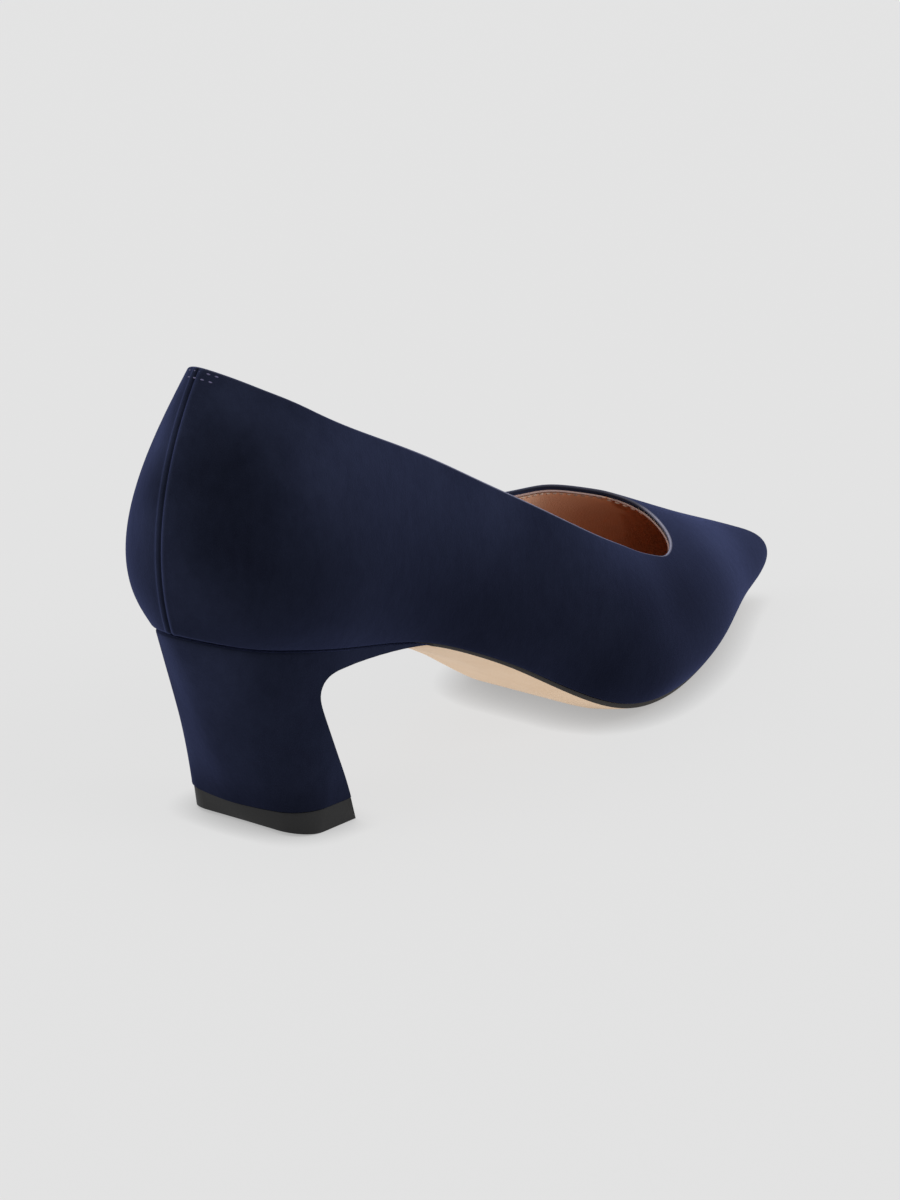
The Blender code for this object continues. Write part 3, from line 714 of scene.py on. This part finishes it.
def leather_shader(name, light, dark, pore_scale, depth):
    """Smooth leather with fine pores."""
    material, tree, shader = new_material(name)
    grain = node(tree, "Group", node_tree=leather_grain)
    grain.inputs["Light"].default_value = light
    grain.inputs["Dark"].default_value = dark
    grain.inputs["Pore Scale"].default_value = pore_scale
    set_constants(shader, Specular_IOR_Level=0.35)
    tree.links.new(grain.outputs["Color"], shader.inputs["Base Color"])
    tree.links.new(grain.outputs["Roughness"], shader.inputs["Roughness"])
    raise_surface(tree, shader, grain.outputs["Height"], PORE_STRENGTH, depth)
    return material, tree, shader, grain.outputs["Color"]


LINING_LIGHT = (0.48, 0.215, 0.115, 1)
LINING_DARK = (0.40, 0.17, 0.088, 1)
# painted light on the lining near its top, where light falls in through the opening
LINING_PAINTED_LIGHT = (1.0, 0.70, 0.50, 1)
LINING_RAW = (0.30, 0.20, 0.18, 1)
# painted shade in the groove between the suede's fold and the lining's raw edge
LINING_GROOVE_SHADE = (0.060, 0.030, 0.026, 1)
LINING_PORES = (1100, 0.00008)  # scale and depth
lining_material, tree, shader, color = leather_shader(
    "lining leather", LINING_LIGHT, LINING_DARK, *LINING_PORES
)
for layer, layer_color in (("near", LINING_PAINTED_LIGHT), ("groove_shade", LINING_GROOVE_SHADE), ("raw", LINING_RAW)):
    color = mixed(tree, mask_of(tree, layer), color, layer_color)
tree.links.new(color, shader.inputs["Base Color"])
lining = add_piece("lining", bm, [lining_material], "insole_leather")
give_wall(lining, LINING_THICK)

# Stitches. A row of pale thread runs along the top of the lining, through it and the folded suede. Two short
# rows of violet thread hold the top of the back seam.
STITCH_STEP = 2.3
STITCH_SIZE = (0.75, 0.28, 0.24)  # half length, half width, half height
STITCH_DEPTH = 1.3  # under the root of the fold
TACK_STEP = 2.0
TACK_SIZE = (0.5, 0.2, 0.15)
TACK_DEPTHS = (0.6, 2.3)
TACK_REACH = 4.2  # on both sides of the seam
TWIST = (3000, 2, 0.5)
edge_way = way_along(edge)
back_way = edge_way[COLLAR_COLUMNS // 2]


def read_at(at, way, points):
    """Points read at places between those that are known at the ways along a line."""
    return np.stack([np.interp(at, way, values) for values in points.T], -1)


def add_stitches(bm, line, places, size):
    """Sews one bulge of thread at each of the ways along a line that follows the topline."""
    known = (in_frame(line), edge_along, edge_out)
    for at in places:
        spot, along, out = (Vector(read_at(at, edge_way, points)) for points in known)
        across = out.cross(along).normalized()
        turned = Matrix((along.normalized(), across, out.normalized())).transposed().to_4x4()
        sized = Matrix.Diagonal((*(length * MILLIMETRE for length in size), 1))
        matrix = Matrix.Translation(spot) @ turned @ sized
        bmesh.ops.create_uvsphere(bm, u_segments=8, v_segments=6, radius=1, matrix=matrix)


def thread_shader(name, light, dark):
    """Twisted thread."""
    material, tree, shader = new_material(name)
    twist = noise(tree, node(tree, "TexCoord").outputs["Object"], *TWIST)
    tree.links.new(mixed(tree, twist, dark, light), shader.inputs["Base Color"])
    set_constants(shader, Roughness=0.8)
    return material


bm = bmesh.new()
stitch_line = edge - edge_out * WALL - edge_onward * STITCH_DEPTH
add_stitches(bm, stitch_line, np.arange(STITCH_STEP / 2, edge_way[-1], STITCH_STEP), STITCH_SIZE)
THREAD_LIGHT = (0.62, 0.50, 0.42, 1)
THREAD_DARK = (0.30, 0.22, 0.18, 1)
thread_material = thread_shader("pale thread", THREAD_LIGHT, THREAD_DARK)
add_piece("collar_stitches", bm, [thread_material], "upper_suede")

bm = bmesh.new()
for row, depth in enumerate(TACK_DEPTHS):
    places = np.arange(-TACK_REACH + row * TACK_STEP / 2, TACK_REACH, TACK_STEP)
    add_stitches(bm, edge - edge_onward * depth, back_way + places, TACK_SIZE)
TACK_LIGHT = (0.11, 0.10, 0.19, 1)
TACK_DARK = (0.04, 0.04, 0.08, 1)
tack_material = thread_shader("violet thread", TACK_LIGHT, TACK_DARK)
add_piece("back_stitches", bm, [tack_material], "upper_suede")

# Insole. A board the shape of the foot's sole, covered by a tan leather sock. It is glued in over the edge of
# the upper that is turned under.
INSOLE_TOP = 2.0
INSOLE_THICK = 0.9
INSOLE_INSET = 2.0
INSOLE_END = 0.4  # cut off both ends of the outline
INSOLE_STATIONS = 140
INSOLE_ACROSS = 24
SOCK_CROWN = 0.3


def outline(inset):
    """Feather edge in plan, moved inwards, as dense points."""
    points = ribs_at(np.linspace(0, ROUND, RIB_SAMPLES)[:-1])[:, :2]
    along = unit(np.roll(points, -1, axis=0) - np.roll(points, 1, axis=0))
    return points + inset * np.stack([-along[:, 1], along[:, 0]], 1)


def side_edges(points, x):
    """y of the outer and inner side of an outline at each x."""
    rear, front = np.argmin(points[:, 0]), np.argmax(points[:, 0])
    turned = np.roll(points, -rear, axis=0)
    front = (front - rear) % len(points)
    outer, inner = turned[: front + 1], np.vstack([turned[front:], turned[:1]])[::-1]
    return [np.interp(x, side[:, 0], side[:, 1]) for side in (outer, inner)]


def eased(count, low, high):
    """Stations from low to high, closer together at both ends."""
    return low + (high - low) * (1 - np.cos(np.linspace(0, np.pi, count + 1))) / 2


insole_plan = outline(INSOLE_INSET)
x = eased(INSOLE_STATIONS, insole_plan[:, 0].min() + INSOLE_END, insole_plan[:, 0].max() - INSOLE_END)
outer_y, inner_y = side_edges(insole_plan, x)
across = np.linspace(0, 1, INSOLE_ACROSS + 1)
y = outer_y[:, None] + (inner_y - outer_y)[:, None] * across
z = feather_height(x)[:, None] + INSOLE_TOP - SOCK_CROWN * (4 * across * (1 - across))
bm = bmesh.new()
add_grid(bm, np.stack([np.broadcast_to(x[:, None], y.shape), y, z], -1))
bmesh.ops.recalc_face_normals(bm, faces=bm.faces)
if sum(face.normal.z for face in bm.faces) < 0:
    bmesh.ops.reverse_faces(bm, faces=bm.faces)
SOCK_LIGHT = (0.44, 0.19, 0.095, 1)
SOCK_DARK = (0.36, 0.145, 0.07, 1)
SOCK_PORES = (1000, 0.00008)
sock_material = leather_shader("sock leather", SOCK_LIGHT, SOCK_DARK, *SOCK_PORES)[0]
insole = add_piece("insole_sock", bm, [sock_material], "insole_leather", "insole")
give_wall(insole, INSOLE_THICK)

# Outsole. A sheet of beige leather glued under the upper, thin and bevelled at the waist, thicker under the
# ball, with its edge dyed dark. Behind the waist it runs back between the lips of the heel.
OUTSOLE_INSET = 1.0
OUTSOLE_STATIONS = 200
OUTSOLE_ACROSS = 36
LIP_TIP = 72.0
LIP_REACH_OUTER = 22.5
LIP_REACH_INNER = 18.5
LIP_POWER = 5
BREAST_STEPS = 600
TONGUE_STATIONS = 30
TONGUE_POINTS = 400
BEVEL_ROUND = 0.3
EDGE_STEEP = 0.35  # faces less level than this belong to the sole's edge
SOLE_CREASE = math.radians(35)
# Curve of the breast from the floor up: x and z at the heel's sides, x and z in its middle.
BREAST = [
    (51.2, -6.0, 50.8, -6.0),
    (48.2, 0.0, 47.6, 0.0),
    (42.5, 12.0, 41.6, 12.0),
    (38.2, 21.0, 37.2, 21.0),
    (34.9, 29.6, 33.9, 29.6),
    (33.2, 35.2, 32.5, 35.2),
    (34.0, 38.6, 32.7, 39.0),
    (37.0, 40.7, 33.4, 42.5),
    (42.9, 41.6, 34.1, 45.5),
    (52.4, 41.5, 34.8, 48.4),
    (62.4, 40.7, 35.5, 53.2),
    (72.0, 39.2, 36.2, 63.0),
    (82.0, 36.8, 36.8, 82.0),
]


def breast_at(steps, y):
    """x and z of the breast at steps up its curve and places across the heel, arrays of one shape."""
    knots = np.linspace(0, 1, len(BREAST))
    edge_x, edge_z, middle_x, middle_z = smooth(knots, BREAST, np.ravel(steps)).T.reshape(4, *np.shape(steps))
    reach = np.where(y < 0, LIP_REACH_OUTER, LIP_REACH_INNER)
    forward = np.minimum(np.abs(y) / reach, 1) ** LIP_POWER
    return middle_x + (edge_x - middle_x) * forward, middle_z + (edge_z - middle_z) * forward


def breast_meets_seat(y):
    """x where the breast meets the heel seat at each place across."""
    steps = np.linspace(0, 1, BREAST_STEPS)
    met = []
    for place in y:
        x, z = breast_at(steps, np.full(len(steps), place))
        met.append(x[np.argmax(z > feather_height(x))])
    return np.minimum(met, LIP_TIP) + 2 * GAP


# Thickness along the sole: x, at the edge, in the middle, and the width of the bevel.
SOLE_SIZES = np.array([
    (34.0, 1.2, 3.2, 2.0),
    (60.0, 0.9, 3.2, 8.0),
    (75.0, 0.9, 3.3, 10.0),
    (110.0, 1.2, 3.4, 11.0),
    (135.0, 1.3, 3.4, 10.0),
    (155.0, 1.1, 3.4, 9.0),
    (185.0, 1.0, 3.4, 9.0),
    (215.0, 1.4, 2.9, 6.0),
    (230.0, 1.6, 2.6, 4.0),
    (252.0, 1.5, 2.3, 3.0),
])
sole_plan = outline(OUTSOLE_INSET)
rear_x = breast_meets_seat(np.array([0.0]))[0]
tongue = eased(2 * TONGUE_STATIONS, rear_x, 2 * LIP_TIP - rear_x)[: TONGUE_STATIONS + 1]
x = np.concatenate([tongue, eased(OUTSOLE_STATIONS, 0, sole_plan[:, 0].max())])
x = np.unique(np.round(x[x >= rear_x], 3))
outer_y, inner_y = side_edges(sole_plan, x)
for side_y in (outer_y, inner_y):
    full = np.interp(LIP_TIP, x, side_y)
    tongue_y = np.linspace(0, full, TONGUE_POINTS)
    tongue_x = np.maximum.accumulate(breast_meets_seat(tongue_y + 2 * GAP * np.sign(full)))
    behind = x < LIP_TIP + 2 * GAP
    side_y[behind] = np.interp(x[behind], tongue_x, tongue_y)
sole_x, *sole_sizes = SOLE_SIZES.T
edge_thick, middle_thick, bevel = (np.interp(x, sole_x, sizes)[:, None] for sizes in sole_sizes)
across = eased(OUTSOLE_ACROSS, 0, 1)
width = (inner_y - outer_y)[:, None]
y = outer_y[:, None] + width * across
to_edge = np.minimum(across, 1 - across) * width
slope = np.clip(to_edge / bevel, 0, 1)
thick = edge_thick + (middle_thick - edge_thick) * slope * (1 + BEVEL_ROUND - BEVEL_ROUND * slope)
top = np.broadcast_to(feather_height(x)[:, None] - GAP, y.shape)
bottom = np.maximum(top - thick, 0)
section = np.concatenate([np.stack([y, bottom], -1), np.stack([y, top], -1)[:, ::-1]], 1)
section = np.concatenate([section, section[:, :1]], 1)
stations = np.broadcast_to(x[:, None], section.shape[:2])


def close_block(bm, apart):
    """Joins the points that meet, fills the open ends and turns all faces outwards."""
    bmesh.ops.remove_doubles(bm, verts=bm.verts, dist=apart * MILLIMETRE)
    bmesh.ops.holes_fill(bm, edges=[item for item in bm.edges if item.is_boundary], sides=0)
    bmesh.ops.recalc_face_normals(bm, faces=bm.faces)


bm = bmesh.new()
add_grid(bm, np.concatenate([stations[..., None], section], -1))
close_block(bm, MERGE)
for face in bm.faces:
    face.material_index = int(abs(face.normal.z) < EDGE_STEEP)
SOLE_LIGHT = (0.94, 0.69, 0.47, 1)
SOLE_DARK = (0.87, 0.62, 0.41, 1)
SOLE_PORES = (1500, 0.00006)
sole_material = leather_shader("sole leather", SOLE_LIGHT, SOLE_DARK, *SOLE_PORES)[0]
EDGE_LIGHT = (0.018, 0.014, 0.012, 1)
EDGE_DARK = (0.010, 0.008, 0.007, 1)
EDGE_PORES = (1200, 0.00006)
edge_material = leather_shader("dyed sole edge", EDGE_LIGHT, EDGE_DARK, *EDGE_PORES)[0]
outsole = add_piece("outsole_leather", bm, [sole_material, edge_material], "outsole_leather", "outsole")
outsole.data.set_sharp_from_angle(angle=SOLE_CREASE)

# Heel. A moulded block wrapped in the same suede as the upper, screwed up into the seat. Its breast is hollow
# and turns forward at the sides into two lips under the waist.
TOP_PIECE_THICK = 6.4
TOP_PIECE_BACK = 27.6
TOP_PIECE_FRONT = 48.8
TOP_PIECE_OUTER = 19.6
TOP_PIECE_INNER = 18.8
TOP_PIECE_CORNER = 7.5
CORNER_POINTS = 25
HEEL_INSET = 0.5
HEEL_AXIS = (37.0, 0.0)
HEEL_FULL = 0.9  # how far the wall is rounded out half way up
HEEL_GROOVE = 0.8  # between the cover and the upper
HEEL_TOP_ROUND = 0.6  # radius of the cover's edge there
HEEL_PAINTED_LIGHT_ALL_OVER = 0.2  # painted light all over the heel, and painted shade at its foot
HEEL_FOOT_PAINTED_SHADE = -0.4
HEEL_FOOT_SHADE_REACH = 8.0
# Patches of painted light and shade on the heel's nap: x, y and z, reach, change.
HEEL_LIGHT_AND_SHADE_PATCHES = [
    (10.0, 12.0, 48.0, 10.0, -0.35),
    (15.0, 13.0, 34.0, 11.0, -0.45),
    (21.0, 13.0, 20.0, 11.0, -0.3),
    (11.0, -6.0, 42.0, 10.0, 0.6),
    (7.0, -9.0, 51.0, 8.0, 0.2),
    (20.0, -20.0, 45.0, 10.0, -0.2),
    (27.0, 1.0, 9.0, 7.0, -0.25),
]
HEEL_EDGE_COLUMNS = 70
HEEL_ROUND_COLUMNS = 130
HEEL_ROWS = 36
BREAST_ACROSS = 40
BREAST_SAMPLES = 4001
EDGE_ROUNDS = 12  # times the edge of the breast is searched again, closer each time
LIP_END = 0.4  # the lips stop short of their tip
NECK_SPREAD = 0.05  # of the columns' tops away from the breast, as a share of the lines
ROW_CROWDING = 1.5  # of the rows, towards the foot
TOP_TURNS = (90, 60, 30, 0)  # degrees round the cover's top edge
HEEL_MERGE = 0.05
HEEL_CREASE = math.radians(50)


def resample(points, count):
    way = way_along(points)
    return read_at(np.linspace(0, way[-1], count), way, points)


def top_piece_plan(count):
    """U of the top piece, from its outer front corner round the back to its inner front corner."""
    turn = np.linspace(0, np.pi / 2, CORNER_POINTS)
    sides = []
    for side in (TOP_PIECE_OUTER, TOP_PIECE_INNER):
        corner_x = TOP_PIECE_BACK + TOP_PIECE_CORNER * (1 - np.sin(turn))
        corner_y = side - TOP_PIECE_CORNER * (1 - np.cos(turn))
        sides.append(np.vstack([[(TOP_PIECE_FRONT, side)], np.stack([corner_x, corner_y], 1)]))
    return resample(np.vstack([sides[0] * (1, -1), sides[1][::-1]]), count)


def seat_plan(count):
    """U of the heel seat under the feather edge, from the outer lip's tip round the back to the inner one."""
    points = outline(HEEL_INSET)
    behind = points[:, 0] < LIP_TIP
    first_outer = np.argmax(~behind)
    first_inner = len(behind) - np.argmax(~behind[::-1])
    return resample(np.vstack([points[:first_outer][::-1], points[first_inner:][::-1]]), count)


WALL_LINES = 1201
foot_line, seat_line = top_piece_plan(WALL_LINES), seat_plan(WALL_LINES)
seat_height = feather_height(seat_line[:, 0])
line_share = np.linspace(0, 1, WALL_LINES)


def seat_height_at(line):
    return np.interp(line, line_share, seat_height)


def heel_wall(line, share):
    """Points on the heel's outside: along the lines from the top piece at 0 up to the seat at 1."""
    foot, seat = (read_at(line, line_share, points) for points in (foot_line, seat_line))
    plan = foot + (seat - foot) * share[..., None]
    plan += unit(plan - HEEL_AXIS) * (4 * HEEL_FULL * share * (1 - share))[..., None]
    return np.concatenate([plan, (share * seat_height_at(line))[..., None]], -1)


def wall_line_through(x, z, inner):
    """Line and share of the heel's outside, on one of its sides, at x and z."""
    half = slice(WALL_LINES // 2, None) if inner else slice(None, WALL_LINES // 2 + 1)
    lines, height = line_share[half], seat_height[half]
    found = []
    for x_one, z_one in zip(x, z):
        reach = foot_line[half, 0] + (seat_line[half, 0] - foot_line[half, 0]) * z_one / height
        order = np.argsort(reach)
        line = np.interp(x_one, reach[order], lines[order])
        found.append((line, z_one / seat_height_at(line)))
    return np.array(found).T


def breast_edge(steps, inner):
    """Where the breast meets one side of the heel: line and share on the heel's outside, and y."""
    y = np.full(len(steps), LIP_REACH_INNER if inner else -LIP_REACH_OUTER)
    for _ in range(EDGE_ROUNDS):
        x, z = breast_at(steps, y)
        line, share = wall_line_through(x, z, inner)
        y = heel_wall(line, share)[:, 1]
    return line, np.minimum(share, 1), y


heel_low = TOP_PIECE_THICK + GAP
all_steps = np.linspace(0, 1, BREAST_SAMPLES)
half = BREAST_SAMPLES // 2
edge_x, edge_z = breast_at(all_steps, np.full(len(all_steps), -LIP_REACH_OUTER))
first_step = np.interp(heel_low, edge_z[:half], all_steps[:half])
last_step = all_steps[np.argmax(edge_x > LIP_TIP - LIP_END)]
breast_way = way_along(np.stack([edge_x, edge_z], 1))
first_way, last_way = np.interp([first_step, last_step], all_steps, breast_way)
steps = np.interp(np.linspace(first_way, last_way, HEEL_EDGE_COLUMNS), breast_way, all_steps)
outer_line, outer_share, outer_edge_y = breast_edge(steps, False)
inner_line, inner_share, inner_edge_y = breast_edge(steps, True)
round_line = np.linspace(outer_line[0], inner_line[0], HEEL_ROUND_COLUMNS + 2)[1:-1]
round_share = heel_low / seat_height_at(round_line)
low_line = np.concatenate([outer_line[::-1], round_line, inner_line])
low_share = np.concatenate([outer_share[::-1], round_share, inner_share])
neck = np.maximum.accumulate(outer_line[::-1])
neck_end = neck[-1] + NECK_SPREAD
inner_neck = np.minimum.accumulate(inner_line[::-1])[::-1]
inner_neck_end = inner_neck[0] - NECK_SPREAD
fade = np.linspace(0, 1, HEEL_EDGE_COLUMNS) ** 2
high_line = np.concatenate([
    neck + (neck_end - neck[-1]) * fade,
    np.linspace(neck_end, inner_neck_end, HEEL_ROUND_COLUMNS + 2)[1:-1],
    inner_neck - (inner_neck[0] - inner_neck_end) * fade[::-1],
])
high_share = 1 - HEEL_GROOVE / seat_height_at(high_line)
down = np.linspace(0, 1, HEEL_ROWS + 1)
down = 1 - (1 - down) ** ROW_CROWDING
line = high_line[:, None] + (low_line - high_line)[:, None] * down**3
share = high_share[:, None] + (np.minimum(low_share, high_share) - high_share)[:, None] * down
heel_side = heel_wall(line, share)
top = heel_side[:, 0]
drop = heel_side[:, 1] - top
round_top = np.minimum(HEEL_TOP_ROUND, 0.5 * np.linalg.norm(drop, axis=1))[:, None, None]
onward = np.gradient(top, axis=0)
inward = unit(np.stack([onward[:, 1], -onward[:, 0], np.zeros(len(top))], 1))
inward *= np.sign((inward[:, :2] * (np.array(HEEL_AXIS) - top[:, :2])).sum(axis=1))[:, None]
turn = np.radians(TOP_TURNS)[:, None]
drop = unit(drop)[:, None] * (1 - np.sin(turn)) + inward[:, None] * (1 - np.cos(turn))
heel_side = np.concatenate([top[:, None] + drop * round_top, heel_side[:, 1:]], 1)
bm = bmesh.new()
add_grid(bm, heel_side)
across = eased(BREAST_ACROSS, 0, 1)
breast = []
for place in across:
    fine = np.linspace(steps[0], steps[-1], BREAST_STEPS)
    y = np.interp(fine, steps, outer_edge_y) * (1 - place) + np.interp(fine, steps, inner_edge_y) * place
    x, z = breast_at(fine, y)
    over = z > feather_height(x) - GAP
    top_step = fine[np.argmax(over)] if over.any() else fine[-1]
    at = steps[0] + (steps - steps[0]) * (top_step - steps[0]) / (steps[-1] - steps[0])
    y = np.interp(at, fine, y)
    x, z = breast_at(at, y)
    breast.append(np.stack([x, y, z], -1))
breast = np.array(breast)
breast[0] = heel_side[HEEL_EDGE_COLUMNS - 1 :: -1, -1]
breast[-1] = heel_side[-HEEL_EDGE_COLUMNS:, -1]
add_grid(bm, breast)
close_block(bm, HEEL_MERGE)
painted_light_mask = bm.verts.layers.float.new("painted_light")
*spots, reaches, changes = np.transpose(HEEL_LIGHT_AND_SHADE_PATCHES)
spots = in_frame(np.transpose(spots))
# painted light all over the heel, painted shade towards its foot, and the patches
for vert in bm.verts:
    low = math.exp(-(((on_last(vert).z - TOP_PIECE_THICK) / HEEL_FOOT_SHADE_REACH) ** 2))
    vert[painted_light_mask] = HEEL_PAINTED_LIGHT_ALL_OVER + HEEL_FOOT_PAINTED_SHADE * low + painted_light_by(vert, spots, reaches, changes)
heel_material, tree, shader, color = suede_shader("heel suede")
tree.links.new(color, shader.inputs["Base Color"])
heel = add_piece("heel_cover", bm, [heel_material], "heel_suede", "heel")
heel.data.set_sharp_from_angle(angle=HEEL_CREASE)

# Top piece. A plate of black rubber nailed under the heel, cut a little inside its cover and taken off at the
# bottom of its back edge.
TOP_PIECE_BEVEL = 0.35
TOP_PIECE_POINTS = 160
TOP_PIECE_INSET = 0.4
TOP_PIECE_LIFT = 1.1  # at the back edge
TOP_PIECE_LIFT_REACH = 9.0
TOP_PIECE_LIFT_POWER = 1.5
TOP_PIECE_SHARP = math.radians(40)  # edges turning more than this are bevelled
TOP_PIECE_CREASE = math.radians(30)


def top_piece_ring(z, lift):
    """Outline of the top piece at one height, cut off in front by the breast, with its back lifted."""
    lines = np.linspace(0, 1, TOP_PIECE_POINTS)
    ring = heel_wall(lines, z / seat_height_at(lines))
    ring[:, :2] -= unit(ring[:, :2] - HEEL_AXIS) * TOP_PIECE_INSET
    edge_x, edge_z = np.array(BREAST)[:, :2].T
    ring[:, 0] = np.minimum(ring[:, 0], np.interp(z, edge_z, edge_x))
    near_back = np.clip(1 - (ring[:, 0] - TOP_PIECE_BACK) / TOP_PIECE_LIFT_REACH, 0, 1)
    ring[:, 2] += lift * near_back**TOP_PIECE_LIFT_POWER
    return ring


bm = bmesh.new()
loops = []
for z, lift in ((0.0, TOP_PIECE_LIFT), (TOP_PIECE_THICK, 0)):
    verts = [bm.verts.new(place) for place in in_frame(top_piece_ring(z, lift))]
    loops.append([bm.edges.new(pair) for pair in zip(verts, verts[1:] + verts[:1])])
bmesh.ops.bridge_loops(bm, edges=loops[0] + loops[1])
for loop in loops:
    bmesh.ops.contextual_create(bm, geom=loop)
bmesh.ops.remove_doubles(bm, verts=bm.verts, dist=MERGE * MILLIMETRE)
bmesh.ops.recalc_face_normals(bm, faces=bm.faces)
sharp = [item for item in bm.edges if item.calc_face_angle(0) > TOP_PIECE_SHARP]
bmesh.ops.bevel(
    bm, geom=sharp, offset=TOP_PIECE_BEVEL * MILLIMETRE, offset_type="OFFSET", segments=2, profile=0.5,
    affect="EDGES", material=-1, clamp_overlap=True,
)
RUBBER_DARK = (0.007, 0.007, 0.0072, 1)
RUBBER_LIGHT = (0.015, 0.015, 0.0155, 1)
RUBBER_ROUGH = 0.5
RUBBER_ROUGHER = 0.2  # change of the roughness where the rubber is lightest
SPECKLE = (1400, 3, 0.6)
SPECKLE_STRENGTH = 0.25
SPECKLE_DEPTH = 0.0001
rubber_material, tree, shader = new_material("black rubber")
set_constants(shader, Specular_IOR_Level=0.25)
speckle = noise(tree, node(tree, "TexCoord").outputs["Object"], *SPECKLE)
tree.links.new(mixed(tree, speckle, RUBBER_DARK, RUBBER_LIGHT), shader.inputs["Base Color"])
rough = math_of(tree, "ADD", math_of(tree, "MULTIPLY", speckle, RUBBER_ROUGHER), RUBBER_ROUGH)
tree.links.new(rough, shader.inputs["Roughness"])
raise_surface(tree, shader, speckle, SPECKLE_STRENGTH, SPECKLE_DEPTH)
top_piece = add_piece("top_piece", bm, [rubber_material], "top_piece_rubber", "heel_top_piece")
top_piece.data.set_sharp_from_angle(angle=TOP_PIECE_CREASE)

# Stage. A wide pale floor that glows evenly, with a contact shadow painted into its glow close to the shoe.
# The light is even all round, with three soft lights added: from overhead, from behind the heel and from the
# outer side.
FLOOR_HALF = 8.0
FLOOR_COLOR = (0.05, 0.05, 0.05, 1)
FLOOR_GLOW = 0.695
FLOOR_PAINTED_SHADOW = (0.55, 0.55, 0.55, 1)
FLOOR_SHADOW_REACH = 0.008
WHITE = (1, 1, 1, 1)
STUDIO_LIGHT = 0.55
bm = bmesh.new()
bmesh.ops.create_grid(bm, x_segments=1, y_segments=1, size=FLOOR_HALF)
floor_mesh = bpy.data.meshes.new("floor")
bm.to_mesh(floor_mesh)
bm.free()
floor = bpy.data.objects.new("floor", floor_mesh)
bpy.context.scene.collection.objects.link(floor)
floor_material, tree, shader = new_material("pale floor")
set_constants(shader, Base_Color=FLOOR_COLOR, Roughness=0.9, Specular_IOR_Level=0.1)
set_constants(shader, Emission_Strength=FLOOR_GLOW)
# painted contact shadow: the floor's glow darkens where the shoe is near
painted_contact_shadow = node(tree, "AmbientOcclusion", {"Distance": FLOOR_SHADOW_REACH}, samples=8).outputs["AO"]
tree.links.new(mixed(tree, painted_contact_shadow, FLOOR_PAINTED_SHADOW, WHITE), shader.inputs["Emission Color"])
floor_mesh.materials.append(floor_material)

world = bpy.data.worlds.new("studio")
bpy.context.scene.world = world
world.use_nodes = True
world.node_tree.nodes["Background"].inputs["Color"].default_value = WHITE
world.node_tree.nodes["Background"].inputs["Strength"].default_value = STUDIO_LIGHT

# Name, direction the light comes from, strength, and how wide the lamp looks in degrees.
SUN_SIDES = [
    ("overhead", (-10, 10, 80), 1.0, 60),
    ("from behind", (-70, 35, 40), 1.1, 40),
    ("from the outer side", (25, -80, 55), 1.4, 40),
]
for name, toward, strength, spread in SUN_SIDES:
    light = bpy.data.lights.new(name, "SUN")
    light.energy = strength
    light.angle = math.radians(spread)
    lamp = bpy.data.objects.new(name, light)
    lamp.rotation_euler = Vector(toward).to_track_quat("Z", "Y").to_euler()
    bpy.context.scene.collection.objects.link(lamp)

# Camera. It has the photograph's angle to the shoe and its distance, with the shoe in the middle of the frame
# and larger in it.
TURN = math.radians(49.6)
LOOK_DOWN = math.radians(18.05)
DISTANCE = 1465.0
AIMED_NEAR = (191.6, 115.7, 0.0)  # a point on the middle line of the photograph's camera
FOCAL_PIXELS = 3500.0
LONG_SIDE = 1200.0
SENSOR = 36.0
CLOSER = 1.5
SHOE_MIDDLE = (541.0, 622.0)  # of the photograph's pixels
PICTURE_MIDDLE = (450.0, 600.0)
right = Vector((math.cos(TURN), -math.sin(TURN), 0))
level = math.cos(LOOK_DOWN)
ahead = Vector((math.sin(TURN) * level, math.cos(TURN) * level, -math.sin(LOOK_DOWN)))
up = right.cross(ahead)
eye = Vector(AIMED_NEAR) - ahead * DISTANCE
aim = ahead + right * (SHOE_MIDDLE[0] - PICTURE_MIDDLE[0]) / FOCAL_PIXELS
aim -= up * (SHOE_MIDDLE[1] - PICTURE_MIDDLE[1]) / FOCAL_PIXELS
camera_data = bpy.data.cameras.new("camera")
camera_data.sensor_width = SENSOR
camera_data.lens = FOCAL_PIXELS * CLOSER / LONG_SIDE * SENSOR
camera = bpy.data.objects.new("camera", camera_data)
camera.location = in_frame(eye)
camera.rotation_euler = aim.to_track_quat("-Z", "Y").to_euler()
bpy.context.scene.collection.objects.link(camera)
bpy.context.scene.camera = camera
bpy.context.scene.view_settings.view_transform = "Standard"
